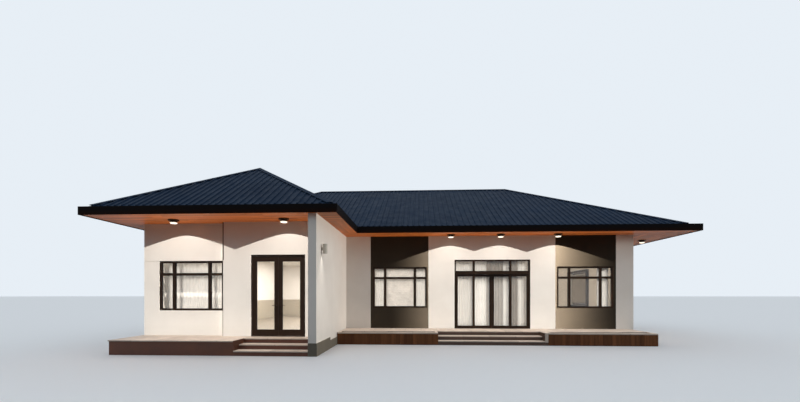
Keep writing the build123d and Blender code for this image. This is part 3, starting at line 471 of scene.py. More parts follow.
def slabs(name, boxes, finish, edge=EDGE, body="house"):
    """One mesh of many boxes; each vertex knows its place and tone within its own box.

    Corner k of a box lies on its far side in x, y and z where bit 0, 1 and 2 of k is set.
    The grain's first axis runs along the box's longest side.
    """
    points, faces, grain, tones = [], [], [], []
    for near, far in boxes:
        size = [b - a for a, b in zip(near, far)]
        order = sorted(range(3), key=lambda i: -size[i])
        offset = [chance.uniform(0.0, GRAIN_SPREAD) for _ in range(3)]
        tone = chance.random()
        start = len(points)
        for k in range(8):
            point = [far[i] if k >> i & 1 else near[i] for i in range(3)]
            points.append(point)
            grain.append([point[i] - near[i] + shift for i, shift in zip(order, offset)])
            tones.append(tone)
        faces += [[start + i for i in quad] for quad in BOX_FACES]
    mesh = mesh_of(name, points, faces)
    mesh.attributes.new("grain", "FLOAT_VECTOR", "POINT").data.foreach_set(
        "vector", [c for place in grain for c in place])
    mesh.attributes.new("tone", "FLOAT", "POINT").data.foreach_set("value", tones)
    piece = piece_from(mesh, name, finish, body)
    if edge:
        soften(piece, edge)
    return piece


def rows(start, end, width):
    """Even rows between two lines, each about as wide as asked."""
    count = max(1, round((end - start) / width))
    step = (end - start) / count
    return [(start + i * step, start + (i + 1) * step) for i in range(count)]


def solids_of(node):
    """Corners of the boxes round the separate solids of a node."""
    build = bmesh.new()
    build.from_mesh(nodes[node].data)
    bmesh.ops.remove_doubles(build, verts=build.verts, dist=SAME_PLACE)
    seen, boxes = set(), []
    for first in build.verts:
        if first in seen:
            continue
        seen.add(first)
        group, waiting = [], [first]
        while waiting:
            vertex = waiting.pop()
            group.append(vertex.co.copy())
            for edge in vertex.link_edges:
                other = edge.other_vert(vertex)
                if other not in seen:
                    seen.add(other)
                    waiting.append(other)
        boxes.append([[pick(c[i] for c in group) for i in range(3)] for pick in (min, max)])
    build.free()
    return boxes


# Soffit boards
BOARD = 0.095
BOARD_LENGTH = 3.2
BOARD_GAP = 0.0015
SHORTEST_BOARD = 0.4
FIRST_SHARE = (0.4, 1.0)
LATER_SHARE = (0.9, 1.1)


def staggered(start, end, length):
    """Lengths of boards laid end to end with joints that shift from row to row."""
    cuts = [start]
    place = start + chance.uniform(*FIRST_SHARE) * length
    while place < end - SHORTEST_BOARD:
        cuts.append(place)
        place += length * chance.uniform(*LATER_SHARE)
    return list(zip(cuts, cuts[1:] + [end]))


def soffit_areas():
    """Rectangles under the eaves with the direction in which their boards run."""
    left, front = low("soffit").x, low("soffit").y
    right, back = high("soffit").x, high("soffit").y
    inset = left - cad_low.x
    wing = WING_EAVE_RIGHT - inset
    main = MAIN_EAVE_FRONT + inset
    return [("x", left, wing, front, ENTRY_FACE), ("x", left, ENTRY_LEFT, ENTRY_FACE, WING_FRONT),
            ("y", left, WALL_LEFT, WING_FRONT, WALL_BACK), ("x", left, right, WALL_BACK, back),
            ("y", WALL_RIGHT, right, MAIN_FRONT, WALL_BACK), ("y", WING_RIGHT, wing, ENTRY_FACE, main),
            ("x", WING_RIGHT, right, main, MAIN_FRONT)]


def soffit_boards():
    """Separate boards that stand for the soffit."""
    boxes = []
    for run, x0, x1, y0, y1 in soffit_areas():
        along, across = ((x0, x1), (y0, y1)) if run == "x" else ((y0, y1), (x0, x1))
        for a, b in rows(*across, BOARD):
            for c, d in staggered(*along, BOARD_LENGTH):
                near, far = (c + BOARD_GAP, a + BOARD_GAP), (d - BOARD_GAP, b - BOARD_GAP)
                if run == "y":
                    near, far = near[::-1], far[::-1]
                boxes.append(((*near, SOFFIT_Z), (*far, SOFFIT_TOP)))
    boards = slabs("soffit_boards", boxes, SOFFIT_WOOD, BOARD_EDGE)
    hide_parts("soffit")


# Paving of the terrace and the porch
PAVING = 0.030
PROUD = 0.003
TILE = 0.60
TREAD_TILE = 0.90
JOINT = 0.004
RISERS = 3
NOSING = 0.020
WING_GOING = 0.340
WING_STEPS = 2.080
MAIN_GOING = 0.300
STRINGER = 0.107
STRINGER_FOOT = 0.1


def tiles(x0, x1, y0, y1, top, along=TILE, across=TILE):
    """Slabs over one rectangle of paving, a little proud of it on top."""
    boxes = []
    for a, b in rows(x0, x1, along):
        for c, d in rows(y0, y1, across):
            boxes.append(((a + JOINT / 2, c + JOINT / 2, top - PAVING),
                          (b - JOINT / 2, d - JOINT / 2, top + PROUD)))
    return boxes


def flight_tiles(x0, x1, front, going):
    """Slabs on the treads of a flight, below the paving that it leads up to."""
    riser = FLOOR / RISERS
    boxes = []
    for i in range(RISERS - 1):
        y0 = front + i * going - NOSING - PROUD
        boxes += tiles(x0, x1, y0, front + (i + 1) * going, (i + 1) * riser, TREAD_TILE, going + NOSING)
    return boxes


def terrace_paving():
    left, steps = low("terrace").x - PROUD, FIN_LEFT - WING_STEPS
    front = low("terrace").y - PROUD
    landing = FIN_FRONT + (RISERS - 1) * WING_GOING - NOSING - PROUD
    boxes = tiles(left, ENTRY_LEFT, front, WING_FRONT, FLOOR)
    boxes += tiles(ENTRY_LEFT, steps, front, ENTRY_FACE, FLOOR)
    boxes += tiles(steps, FIN_LEFT, landing, ENTRY_FACE, FLOOR)
    boxes += flight_tiles(steps, FIN_LEFT, FIN_FRONT, WING_GOING)
    slabs("terrace_paving", boxes, PAVING_STONE, STONE_EDGE)


def porch_paving():
    """Slabs of the porch and its steps, and two stones on the front and top of the low side wall."""
    left, right = low("porch").x, high("porch").x
    steps_left, steps_right = high("planter_left").x, low("planter_right").x
    deck = high("planter_left").y
    inner = steps_right - STRINGER
    front = deck - (RISERS - 1) * MAIN_GOING
    boxes = tiles(left, steps_left, deck, MAIN_FRONT, FLOOR)
    boxes += tiles(steps_left, inner, deck - NOSING - PROUD, MAIN_FRONT, FLOOR)
    boxes += tiles(inner, right, deck, MAIN_FRONT, FLOOR)
    boxes += flight_tiles(steps_left, inner, front, MAIN_GOING)
    outer, top, back = steps_right - CLEAR, FLOOR + PROUD, front + PAVING
    boxes.append(((inner, front - PROUD, STRINGER_FOOT), (outer, back, top)))
    boxes.append(((inner, back, FLOOR - PAVING), (outer, deck, top)))
    slabs("porch_paving", boxes, PAVING_STONE, STONE_EDGE)


# Planters
PLANK = 0.145
PLANK_THICK = 0.012
PLANK_SUNK = 0.010
PLANK_GAP = 0.0025
PLANK_FOOT = 0.015
PLANK_DROP = 0.004
COPING = 0.040
COPING_WIDTH = 0.110
COPING_LENGTH = 0.85
COPING_JOINT = 0.002


def planter_boards(node):
    """Upright boards on the planter's front and a pale coping round its rim."""
    near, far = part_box(node)
    front = near.y + PLANK_SUNK
    head = FLOOR - COPING - PLANK_DROP
    boards = [((a + PLANK_GAP, front - PLANK_THICK, PLANK_FOOT), (b - PLANK_GAP, front, head))
              for a, b in rows(near.x, far.x, PLANK)]
    slabs(node + "_boards", boards, PLANTER_WOOD)
    y0, y1 = near.y - PROUD, far.y - CLEAR
    y_front, y_back = front + COPING_WIDTH, y1 - COPING_WIDTH
    z0, z1 = FLOOR - COPING - CLEAR, FLOOR + PROUD
    rim = []
    for c, d in ((y0, y_front), (y_back, y1)):
        rim += [((a + CLEAR, c, z0), (b - CLEAR, d, z1)) for a, b in rows(near.x, far.x, COPING_LENGTH)]
    for a, b in ((near.x, near.x + COPING_WIDTH), (far.x - COPING_WIDTH, far.x)):
        rim.append(((a + CLEAR, y_front + COPING_JOINT, z0), (b - CLEAR, y_back - COPING_JOINT, z1)))
    slabs(node + "_coping", rim, PAVING_STONE, STONE_EDGE)


# Downlights
COVER_SIDES = 40
COVER_PROUD = 0.001
SKIRT_TOP = 0.020
SKIRT_FOOT = 0.012
CORNER_INSET = 0.003
CORNER_RISE = 0.003
DOME_INSET = 0.012
DOME_START = 0.001
DOME_RINGS = ((0.6, 0.0045), (0.25, 0.006))
DRUM_FOOT = 0.001
LIGHT_REACH = 0.4


def light_places():
    """Plan centres of the downlights, found as separate groups of vertices."""
    corners = [v.co for v in nodes["downlights"].data.vertices]
    places = []
    for corner in corners:
        if all(math.hypot(corner.x - x, corner.y - y) > LIGHT_REACH for x, y in places):
            places.append((corner.x, corner.y))
    centres = []
    for x, y in places:
        group = [c for c in corners if math.hypot(c.x - x, c.y - y) < LIGHT_REACH]
        xs, ys = [c.x for c in group], [c.y for c in group]
        centres.append(((min(xs) + max(xs)) / 2, (min(ys) + max(ys)) / 2))
    return centres


def cover_profile(radius, foot):
    """Radius and height of each ring, from the skirt round the drum down to the flat middle."""
    skirt = [(radius, foot + SKIRT_TOP), (radius, foot + SKIRT_FOOT)]
    corner = [(radius - CORNER_INSET, foot + CORNER_RISE), (radius - DOME_INSET, foot - DOME_START)]
    dome = [(share * radius, foot - drop) for share, drop in DOME_RINGS]
    return skirt + corner + dome


def drum_covers():
    """Opal covers over the feet of the downlights' drums, round at the edge and slightly domed."""
    places = light_places()
    foot = low("downlights").z
    drums = [v.co for v in nodes["downlights"].data.vertices if v.co.z < foot + DRUM_FOOT]
    x0, y0 = places[0]
    reaches = [math.hypot(c.x - x0, c.y - y0) for c in drums]
    profile = cover_profile(max(r for r in reaches if r < LIGHT_REACH) + COVER_PROUD, foot)
    points, faces = [], []
    for x, y in places:
        start = len(points)
        for r, z in profile:
            for k in range(COVER_SIDES):
                angle = 2 * math.pi * k / COVER_SIDES
                points.append((x + r * math.cos(angle), y + r * math.sin(angle), z))
        for j in range(len(profile) - 1):
            for k in range(COVER_SIDES):
                a, b = start + j * COVER_SIDES, start + (j + 1) * COVER_SIDES
                n = (k + 1) % COVER_SIDES
                faces.append((a + k, b + k, b + n, a + n))
        last = start + (len(profile) - 1) * COVER_SIDES
        faces.append([last + k for k in reversed(range(COVER_SIDES))])
    mesh = mesh_of("downlight_covers", points, faces, smooth=True)
    piece_from(mesh, "downlight_covers", LENS)


# Curtains
CURTAIN_GAP = 0.16
SHEER_BEHIND = 0.09
HEAD_RISE = 0.12
DOOR_RISE = 0.3
DOOR_FOOT = 0.02
WINDOW_FOOT = 0.3
WINDOW_DEPTH = 0.011
SHEER_DEPTH = 0.016
MIDDLE_DEPTH = 0.035
RIGHT_DEPTH = 0.03
SIDE_DEPTH = 0.02
SHEER_ENDS = (-0.15, 0.15)
MIDDLE_ENDS = (-0.14, 0.50)
RIGHT_ENDS = (-0.62, -0.36)
BAY_LEFT_A_ENDS = (0.05, 0.62)
BAY_LEFT_B_ENDS = (-0.55, -0.05)
BAY_RIGHT_ENDS = (-0.52, -0.08)
WING_ENDS = (0.05, -0.05)
SIDE_INSET = 0.08
SIDE_STAND = 0.05

# Folds and rods
FOLD = 0.11
FOLD_STEP = 0.012
CLOTH_ROWS = 14
CLOTH_THICK = 0.0015
LAST_PHASE = 6.0
SWAY = 1.3
SWAY_RATE = 3.1
GATHER = 0.45
ROD_REACH = 0.03
ROD_HALF = 0.012
ROD_HEIGHT = 0.025


def curtain(name, ends, y, z0, z1, depth, cloth, sideways=False):
    """Hanging cloth in uneven folds, flatter at its head, hung from a rod.

    Sideways it hangs along a side wall: ends are then its ends in y, and y its place in x.
    """
    x0, x1 = ends
    steps = int((x1 - x0) / FOLD_STEP)
    phase = chance.uniform(0.0, LAST_PHASE)
    line = []
    for i in range(steps + 1):
        x = x0 + (x1 - x0) * i / steps
        wave = math.sin(2 * math.pi * x / FOLD + phase + SWAY * math.sin(SWAY_RATE * x + phase))
        line.append((x, wave))
    points, faces = [], []
    for j in range(CLOTH_ROWS + 1):
        share = j / CLOTH_ROWS
        z = z0 + (z1 - z0) * share
        swing = depth * (1.0 - GATHER * share ** 3)
        points += [(x, y + swing * wave, z) for x, wave in line]
    rod = ((x0 - ROD_REACH, y - ROD_HALF, z1), (x1 + ROD_REACH, y + ROD_HALF, z1 + ROD_HEIGHT))
    if sideways:
        points = [(b, a, z) for a, b, z in points]
        rod = [(b, a, z) for a, b, z in rod]
    wide = steps + 1
    for j in range(CLOTH_ROWS):
        for i in range(steps):
            k = j * wide + i
            faces.append((k, k + 1, k + wide + 1, k + wide))
    mesh = mesh_of(name, points, faces, smooth=True)
    piece = piece_from(mesh, name, cloth)
    thick = piece.modifiers.new("cloth", "SOLIDIFY")
    thick.thickness = CLOTH_THICK
    rail = slabs(name + "_rail", [rod], RAIL_COAT)


def between(left, right, ends):
    """Ends of a curtain, counted from two lines of the house."""
    return left + ends[0], right + ends[1]


def slider_curtains():
    """Sheer cloth behind the whole sliding door, and two grey lengths between it and the door."""
    left, right = low("slider_frame").x, high("slider_frame").x
    middle = (left + right) / 2
    place = MAIN_INNER + CURTAIN_GAP
    foot, head = FLOOR + DOOR_FOOT, WINDOW_HEAD + HEAD_RISE + DOOR_RISE
    curtain("curtain_slider_sheer", between(left, right, SHEER_ENDS), place + SHEER_BEHIND, foot, head,
            SHEER_DEPTH, CLOTH)
    curtain("curtain_slider_middle", between(middle, middle, MIDDLE_ENDS), place, foot, head,
            MIDDLE_DEPTH, GREY_CLOTH)
    curtain("curtain_slider_right", between(right, right, RIGHT_ENDS), place, foot, head,
            RIGHT_DEPTH, GREY_CLOTH)


def window_curtain(name, ends, inner):
    """Sheer cloth behind a front window; inner is the line of its wall's inner face."""
    foot, head = FLOOR + WINDOW_FOOT, WINDOW_HEAD + HEAD_RISE
    curtain(name, ends, inner + CURTAIN_GAP, foot, head, WINDOW_DEPTH, CLOTH)


def side_curtain():
    """Grey cloth inside the window in the right wall, a little smaller than its frame."""
    near, far = side_window()
    ends = between(near.y, far.y, (SIDE_INSET, -SIDE_INSET))
    curtain("side_curtain", ends, near.x - SIDE_STAND, near.z + SIDE_INSET, far.z - SIDE_INSET,
            SIDE_DEPTH, GREY_CLOTH, sideways=True)


def curtains():
    slider_curtains()
    left, right = low("wall_bay_left").x, high("wall_bay_left").x
    window_curtain("curtain_bay_left_a", between(left, left, BAY_LEFT_A_ENDS), MAIN_INNER)
    window_curtain("curtain_bay_left_b", between(right, right, BAY_LEFT_B_ENDS), MAIN_INNER)
    right = high("wall_bay_right").x
    window_curtain("curtain_bay_right", between(right, right, BAY_RIGHT_ENDS), MAIN_INNER)
    side_curtain()
    window_curtain("curtain_wing", between(LEFT_INNER, ENTRY_LEFT, WING_ENDS), WING_INNER)


# Casing of the window in the right wall
CASING_WIDTH = 0.10
CASING_PROUD = 0.10


def side_window():
    """Corners of the frontmost window frame in the right wall."""
    frames = [box for box in solids_of("window_frames_rear") if box[1][0] > RIGHT_INNER]
    first = min(frames, key=lambda box: box[0][1])
    return mathutils.Vector(first[0]), mathutils.Vector(first[1])


def side_casing():
    """Deep dark casing round the inner side of that window, seen through the right bay."""
    near, far = side_window()
    x0, x1 = RIGHT_INNER - CASING_PROUD, RIGHT_INNER
    y0, y1, z0, z1 = near.y, far.y, near.z, far.z
    boxes = [((x0, a, z0 - CASING_WIDTH), (x1, b, z1 + CASING_WIDTH))
             for a, b in ((y0 - CASING_WIDTH, y0), (y1, y1 + CASING_WIDTH))]
    boxes += [((x0, y0, a), (x1, y1, b)) for a, b in ((z0 - CASING_WIDTH, z0), (z1, z1 + CASING_WIDTH))]
    slabs("side_casing", boxes, FRAME_COAT)


# Blind
SLAT = 0.077
SLAT_THICK = 0.003
SLAT_TILT = math.radians(62.0)
SLAT_PITCH = 0.86
SLAT_BOW = 0.006
BLIND_LEFT = 0.60
BLIND_RIGHT = 0.57
BLIND_STAND = 0.06
BLIND_FOOT = 0.72
BLIND_RISE = 0.06
BLIND_RAIL_HALF = 0.03
BLIND_RAIL_HEIGHT = 0.045


def blind():
    """Closed horizontal slats behind the middle light of the left bay's window."""
    x0, x1 = low("wall_bay_left").x + BLIND_LEFT, high("wall_bay_left").x - BLIND_RIGHT
    y = MAIN_INNER + BLIND_STAND
    foot, head = FLOOR + BLIND_FOOT, WINDOW_HEAD + BLIND_RISE
    half_y, half_z = 0.5 * SLAT * math.cos(SLAT_TILT), 0.5 * SLAT * math.sin(SLAT_TILT)
    points, faces = [], []
    for z, _ in rows(foot, head, SLAT * SLAT_PITCH):
        start = len(points)
        for side in (-1, 0, 1):
            bow = SLAT_BOW if side == 0 else 0.0
            for x in (x0, x1):
                points.append((x, y + side * half_y - bow, z + side * half_z))
        faces += [(start, start + 1, start + 3, start + 2), (start + 2, start + 3, start + 5, start + 4)]
    slats = piece_from(mesh_of("blind_slats", points, faces), "blind_slats", SLAT_COAT)
    thick = slats.modifiers.new("slat", "SOLIDIFY")
    thick.thickness = SLAT_THICK
    rail = ((x0, y - BLIND_RAIL_HALF, head), (x1, y + BLIND_RAIL_HALF, head + BLIND_RAIL_HEIGHT))
    slabs("blind_rail", [rail], SLAT_COAT)


# Band on the inner walls
DADO_TOP = FLOOR + 1.0
DADO_THICK = 0.006
DADO_CLEAR = 0.002
DADO_LENGTH = 2.4
DADO_START = 0.3


def dado():
    """Beige band round the foot of the inner back and left walls, seen through the double door."""
    x0, x1 = LEFT_INNER + DADO_CLEAR, RIGHT_INNER - DADO_CLEAR
    y0, y1 = WING_INNER + DADO_START, BACK_INNER - DADO_THICK - DADO_CLEAR
    foot = FLOOR + CLEAR
    boxes = [((a, BACK_INNER - DADO_THICK, foot), (b, BACK_INNER, DADO_TOP))
             for a, b in rows(x0, x1, DADO_LENGTH)]
    boxes += [((LEFT_INNER, a, foot), (LEFT_INNER + DADO_THICK, b, DADO_TOP))
              for a, b in rows(y0, y1, DADO_LENGTH)]
    slabs("dado", boxes, DADO_COAT)


# Corner strip: a joint and its painted shadow
JOINT_SHADOW_WIDE = 0.030
JOINT_SHADOW_NARROW = 0.010
JOINT_SHADOW_PROUD = 0.002
JOINT_SHADOW_FOOT = 0.01


def corner_trim():
    """Dark strip on the corner where the wing's two front sections meet, wider over the window: partly a
    joint, partly painted shadow of the corner.
    """
    y0, y1 = ENTRY_FACE - JOINT_SHADOW_PROUD, ENTRY_FACE
    boxes = [((ENTRY_LEFT, y0, WINDOW_HEAD), (ENTRY_LEFT + JOINT_SHADOW_WIDE, y1, SOFFIT_Z)),
             ((ENTRY_LEFT, y0, FLOOR + JOINT_SHADOW_FOOT), (ENTRY_LEFT + JOINT_SHADOW_NARROW, y1, WINDOW_HEAD))]
    slabs("corner_trim", boxes, LAMP_COAT, edge=0.0)


# Glazing beads
BEAD = 0.011
BEAD_DEEP = 0.009
PANE_BODIES = {
    "window_glass": "house",
    "entry_glass_left": "entry_leaf_left", "entry_glass_right": "entry_leaf_right",
    "slider_glass_left": "slider_panel_left", "slider_glass_right": "slider_panel_right",
}


def beads_round(near, far):
    """Beads on both faces of one pane, along its four edges."""
    thin = min((0, 1), key=lambda i: far[i] - near[i])
    wide = 1 - thin
    left, right, foot, head = near[wide], far[wide], near[2], far[2]
    boxes = []
    for inner, outer in ((near[thin] - BEAD_DEEP, near[thin]), (far[thin], far[thin] + BEAD_DEEP)):
        for a, b, c, d in ((left, left + BEAD, foot, head), (right - BEAD, right, foot, head),
                           (left + BEAD, right - BEAD, foot, foot + BEAD),
                           (left + BEAD, right - BEAD, head - BEAD, head)):
            first, last = [0.0, 0.0, c], [0.0, 0.0, d]
            first[thin], last[thin] = inner, outer
            first[wide], last[wide] = a, b
            boxes.append((first, last))
    return boxes


def glazing_beads():
    """Rubber beads round every pane, riding with the pane."""
    for node, body in PANE_BODIES.items():
        boxes = [box for near, far in solids_of(node) for box in beads_round(near, far)]
        slabs(node + "_beads", boxes, GASKET, body=body)


# Lamps
WARM = (1.0, 0.80, 0.56)
BEAM_COLOUR = (1.0, 0.95, 0.88)
ROOM_COLOUR = (1.0, 0.965, 0.92)
SIDE_COLOUR = (1.0, 0.94, 0.86)
DOWN = (0.0, 0.0, 0.0)
UP = (math.pi, 0.0, 0.0)


def lamp(name, kind, power, colour, place=(0.0, 0.0, 0.0), turn=DOWN):
    data = bpy.data.lights.new(name, kind)
    data.energy = power
    data.color = colour
    piece = bpy.data.objects.new(name, data)
    piece.location = place
    piece.rotation_euler = turn
    bpy.context.scene.collection.objects.link(piece)
    return data, piece


def named(*words):
    """Pieces whose names begin with one of these words."""
    return [piece for piece in bpy.data.objects if piece.type == "MESH" and piece.name.startswith(words)]


def group_of(name, pieces):
    group = bpy.data.collections.new(name)
    for piece in pieces:
        group.objects.link(piece)
    return group


def only_on(light, pieces):
    """Let a lamp light these pieces alone."""
    light.light_linking.receiver_collection = group_of(light.name + "_on", pieces)


def lamp_wires(data):
    """Wires of a lamp's nodes, its light unfaded by distance, and the socket for its strength."""
    data.use_nodes = True
    wires = Wires(data.node_tree)
    fall = wires.add("ShaderNodeLightFalloff")
    fall.inputs["Strength"].default_value = 1.0
    return wires, fall.outputs["Constant"], data.node_tree.nodes["Emission"].inputs["Strength"]


# Beams of the downlights
BEAM_DROP = 0.23
BEAM_STAND = 0.40
BEAM_ANGLE = 141.4
BEAM_BLEND = 0.012
BEAM_POWER = 30.0
BEAM_TOP = 1.6
BEAM_FOOT = 0.93
BEAM_REACH = 2.4
BEAM_FADE = 0.25
LEAST_FACING = 0.04
LEAST_ASIDE = 0.1
BAY_GAIN = 16.0
BAY_SLANT = 5.5
OPEN = 99.0


def shape_beam(data, left, right, fade):
    """Light the wall evenly, brightest near the lamp.

    The lamp's own +Y faces the wall. left and right are the slants at which the next lamp
    takes over; with a fade the light dies away sideways up to that slant.
    """
    wires, level, strength = lamp_wires(data)
    way = wires.add("ShaderNodeTexCoord").outputs["Normal"]
    ahead = wires.axis("Y", way)
    facing = wires.maths("MAXIMUM", wires.maths("ABSOLUTE", ahead), LEAST_FACING)
    slant = wires.maths("DIVIDE", wires.axis("X", way), ahead)
    reach = wires.maths("DIVIDE", BEAM_STAND, facing)
    near = wires.range(reach, BEAM_STAND, BEAM_REACH, 1.0, 0.0)
    near = wires.maths("MULTIPLY", near, near)
    glow = wires.maths("MULTIPLY_ADD", near, BEAM_TOP - BEAM_FOOT, BEAM_FOOT)
    level = wires.maths("MULTIPLY", wires.maths("DIVIDE", level, facing), glow)
    for limit, before, past in ((left, 0.0, 1.0), (right, 1.0, 0.0)):
        share = wires.range(slant, limit - BEAM_FADE, limit + BEAM_FADE, before, past)
        level = wires.maths("MULTIPLY", level, share)
    if fade:
        aside = wires.range(wires.maths("ABSOLUTE", slant), 0.0, fade, 1.0, LEAST_ASIDE)
        level = wires.maths("MULTIPLY", level, wires.maths("MULTIPLY", aside, aside))
    wires.wire(level, strength)


def beam(name, x, y, limits, pieces, gain=1.0, fade=0.0, turn=DOWN):
    """One downlight's beam, on the walls of its own side."""
    data, piece = lamp(name, "SPOT", gain * BEAM_POWER, BEAM_COLOUR, (x, y, SOFFIT_Z - BEAM_DROP), turn)
    data.spot_size = math.radians(BEAM_ANGLE)
    data.spot_blend = BEAM_BLEND
    data.shadow_soft_size = 0.0
    shape_beam(data, *limits, fade)
    only_on(piece, pieces)


def row_limits(row, i):
    """Slants at which a downlight's neighbours in its row take over."""
    limits = [-OPEN, OPEN]
    if i > 0:
        limits[0] = (row[i - 1] - row[i]) / 2 / BEAM_STAND
    if i + 1 < len(row):
        limits[1] = (row[i + 1] - row[i]) / 2 / BEAM_STAND
    return limits


def beams():
    """Beams of each row of downlights on the walls behind it, and of the one beside the house."""
    places = sorted(light_places())
    wing_row = [x for x, y in places if y < MAIN_EAVE_FRONT]
    main_row = [x for x, y in places if MAIN_EAVE_FRONT < y < MAIN_FRONT]
    frames = "window_frames_front"
    sections = [("window", wing_row[:1], WING_FRONT, 1.0, 0.0, ("wall_wing_front", frames, "curtain_wing")),
                ("entry", wing_row, ENTRY_FACE, 1.0, 0.0, ("wall_entry", "entry_frame", "entry_leaf")),
                ("main", main_row, MAIN_FRONT, 1.0, 0.0, ("wall_slider", "slider_", frames)),
                ("bay", main_row, MAIN_FRONT, BAY_GAIN, BAY_SLANT, ("wall_bay",))]
    for name, row, face, gain, fade, words in sections:
        for i, x in enumerate(row):
            beam(f"beam_{name}_{i}", x, face - BEAM_STAND, row_limits(row, i), named(*words), gain, fade)
    beam("beam_side", WALL_RIGHT + BEAM_STAND, places[-1][1], (-OPEN, OPEN),
         named("wall_right", "window_frames_rear"), turn=(0.0, 0.0, math.pi / 2))


# Soft lamps
SOFFIT_LEVEL = 3.2
PAVING_LEVEL = 9.0
ROOM_LEVEL = 20.0
WING_WASH_DROP = 1.4
WING_WASH_DEEP = 1.4
MAIN_WASH_DROP = 1.2
MAIN_WASH_DEEP = 1.0
MAIN_WASH_BACK = 0.3
PAVING_DROP = 1.0
PAVING_DEEP = 1.2
ROOM_DROP = 0.05
SUN_TILT = math.radians(78.0)
SIDE_POWER = 1.5
SIDE_SPREAD = math.radians(12.0)
FRONT_SPREAD = math.radians(20.0)
CLOTH_POWER = 3.9
PIER_POWER = 0.55
SCONCE_POWER = 110.0
SCONCE_ANGLE = math.radians(80.0)
SCONCE_BLEND = 1.0
SCONCE_STAND = 0.05
SCONCE_DROP = 0.01

# Middle, width and depth of the lamps that light the two parts of the room
WING_ROOM = (-5.9, -3.9, 4.6, 2.6)
MAIN_ROOM = (-0.5, 1.7, 14.0, 6.0)


def area(name, place, wide, deep, level, colour, turn, pieces):
    """Soft rectangular lamp; level is its power for each square metre."""
    data, piece = lamp(name, "AREA", level * wide * deep, colour, place, turn)
    data.shape = "RECTANGLE"
    data.size = wide
    data.size_y = deep
    only_on(piece, pieces)


def washes():
    """Soft light of the downlights on the boards over them and on the paving under them."""
    boards = named("soffit_boards")
    paving = named("terrace_paving", "porch_paving", "planter_left_coping", "planter_right_coping")
    wing_x, main_x = (WALL_LEFT + WING_RIGHT) / 2, (WING_RIGHT + WALL_RIGHT) / 2
    wing_wide, main_wide = WING_RIGHT - WALL_LEFT, WALL_RIGHT - WING_RIGHT
    wing_y = (FIN_FRONT + ENTRY_FACE) / 2
    area("wash_wing", (wing_x, wing_y, SOFFIT_Z - WING_WASH_DROP), wing_wide, WING_WASH_DEEP,
         SOFFIT_LEVEL, WARM, UP, boards)
    area("wash_main", (main_x, MAIN_EAVE_FRONT + MAIN_WASH_BACK, SOFFIT_Z - MAIN_WASH_DROP), main_wide,
         MAIN_WASH_DEEP, SOFFIT_LEVEL, WARM, UP, boards)
    area("paving_wing", (wing_x, wing_y, SOFFIT_Z - PAVING_DROP), wing_wide, PAVING_DEEP,
         PAVING_LEVEL, BEAM_COLOUR, DOWN, paving)
    area("paving_main", (main_x, MAIN_EAVE_FRONT, SOFFIT_Z - PAVING_DROP), main_wide, PAVING_DEEP,
         PAVING_LEVEL, BEAM_COLOUR, DOWN, paving)


def sun(name, power, colour, turn, spread, pieces):
    """Soft low light from one side on these pieces alone."""
    data, piece = lamp(name, "SUN", power, colour, turn=turn)
    data.angle = spread
    only_on(piece, pieces)
    return piece


def side_light():
    """Low soft light from the right on the wing's side wall and on its plinth."""
    piece = sun("side_light", SIDE_POWER, SIDE_COLOUR, (0.0, SUN_TILT, 0.0), SIDE_SPREAD,
                named("wall_wing_right", "wall_fin", "foundation", "sconce"))
    piece.light_linking.blocker_collection = group_of("side_light_stops", named("sconce", "planter_left"))


def sconce_light():
    """Streak of light that the wall light throws down the wall."""
    near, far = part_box("sconce")
    place = (WING_RIGHT + SCONCE_STAND, (near.y + far.y) / 2, near.z - SCONCE_DROP)
    data, piece = lamp("sconce_down", "SPOT", SCONCE_POWER, BEAM_COLOUR, place)
    data.spot_size = SCONCE_ANGLE
    data.spot_blend = SCONCE_BLEND
    wires, level, strength = lamp_wires(data)
    wires.wire(level, strength)
    only_on(piece, named("wall_fin", "wall_wing_right", "foundation"))


def room_lights():
    """Soft light from the ceilings of the wing and of the main range."""
    room = named("wall_back", "wall_left", "wall_wing", "wall_entry", "wall_slider", "wall_bay", "floor",
                 "ceiling", "dado", "curtain", "blind", "window_frames", "slider", "entry")
    height = low("ceiling").z - ROOM_DROP
    for name, (x, y, wide, deep) in (("room_wing", WING_ROOM), ("room_main", MAIN_ROOM)):
        area(name, (x, y, height), wide, deep, ROOM_LEVEL, ROOM_COLOUR, DOWN, room)


def front_lights():
    """Low soft light from the front on the curtains and the blind, and on the right wall's end."""
    for name, power, pieces in (("cloth_light", CLOTH_POWER, named("curtain", "blind")),
                                ("pier_light", PIER_POWER, named("wall_right"))):
        sun(name, power, BEAM_COLOUR, (SUN_TILT, 0.0, 0.0), FRONT_SPREAD, pieces)


def house_lights():
    beams()
    washes()
    side_light()
    sconce_light()
    room_lights()
    front_lights()


# Stage, sky and camera
GROUND_REACH = 600.0
GROUND_LEVEL = -0.002
SKY_LIGHT = (0.84, 0.92, 1.0)
SKY_VIEW = (0.80, 0.86, 0.92)
SKY_LOW = 0.11
SKY_HIGH = 0.78
SKY_RISE = 0.45


def seen_directly(wires):
    """1 for what the camera, a reflection or a pane shows, and 0 for light that bounces."""
    rays = wires.add("ShaderNodeLightPath").outputs
    total = rays["Is Camera Ray"]
    for name in ("Is Glossy Ray", "Is Transmission Ray"):
        total = wires.maths("MAXIMUM", total, rays[name])
    return total


def ground_finish():
    """Ground that looks pale, but throws back only a little brown light."""
    ground = Finish("stage_ground", (0.72, 0.70, 0.67), 0.9)
    ground.colour(ground.blend(seen_directly(ground), (0.085, 0.060, 0.048), (0.93, 0.92, 0.91)))
    return ground.material


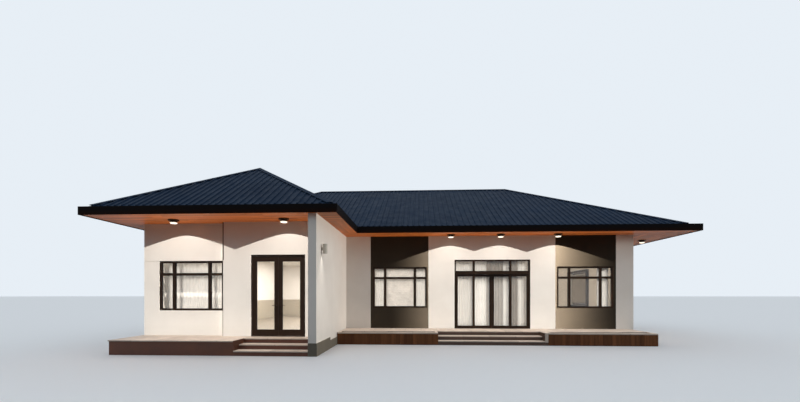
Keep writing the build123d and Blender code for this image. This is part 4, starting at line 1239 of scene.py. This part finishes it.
def stage():
    near, far = -GROUND_REACH, GROUND_REACH
    corners = [(near, near, GROUND_LEVEL), (far, near, GROUND_LEVEL),
               (far, far, GROUND_LEVEL), (near, far, GROUND_LEVEL)]
    mesh = mesh_of("stage_floor", corners, [(0, 1, 2, 3)])
    floor = bpy.data.objects.new("stage_floor", mesh)
    bpy.context.scene.collection.objects.link(floor)
    mesh.materials.append(ground_finish())


def background(wires, colour, strength):
    node = wires.add("ShaderNodeBackground")
    wires.feed(node.inputs["Color"], colour)
    wires.feed(node.inputs["Strength"], strength)
    return node.outputs[0]


def sky():
    """Soft cool light on the house, stronger from high up; the background behind it is pale."""
    world = bpy.data.worlds.new("pale_sky")
    bpy.context.scene.world = world
    world.use_nodes = True
    wires = Wires(world.node_tree)
    wires.tree.nodes.clear()
    height = wires.axis("Z", wires.add("ShaderNodeTexCoord").outputs["Generated"])
    mix = wires.add("ShaderNodeMixShader")
    wires.feed(mix.inputs[0], seen_directly(wires))
    wires.wire(background(wires, SKY_LIGHT, wires.range(height, 0.0, SKY_RISE, SKY_LOW, SKY_HIGH)),
               mix.inputs[1])
    wires.wire(background(wires, SKY_VIEW, 1.0), mix.inputs[2])
    wires.wire(mix.outputs[0], wires.add("ShaderNodeOutputWorld").inputs[0])


def camera():
    data = bpy.data.cameras.new("camera")
    piece = bpy.data.objects.new("camera", data)
    bpy.context.scene.collection.objects.link(piece)
    data.sensor_width = SENSOR
    data.lens = FOCAL_PIXELS / IMAGE_WIDTH * SENSOR
    data.shift_y = (HORIZON_ROW - IMAGE_HEIGHT / 2) / IMAGE_WIDTH
    data.clip_end = FARTHEST
    piece.location = CAMERA_PLACE
    piece.rotation_euler = (math.pi / 2, 0.0, CAMERA_TURN)
    bpy.context.scene.camera = piece


dress_nodes()
soften_frames()
soffit_boards()
terrace_paving()
porch_paving()
planter_boards("planter_left")
planter_boards("planter_right")
drum_covers()
glazing_beads()
corner_trim()
dado()
side_casing()
blind()
curtains()
house_lights()
stage()
sky()
camera()
bpy.context.scene.view_settings.view_transform = "Standard"
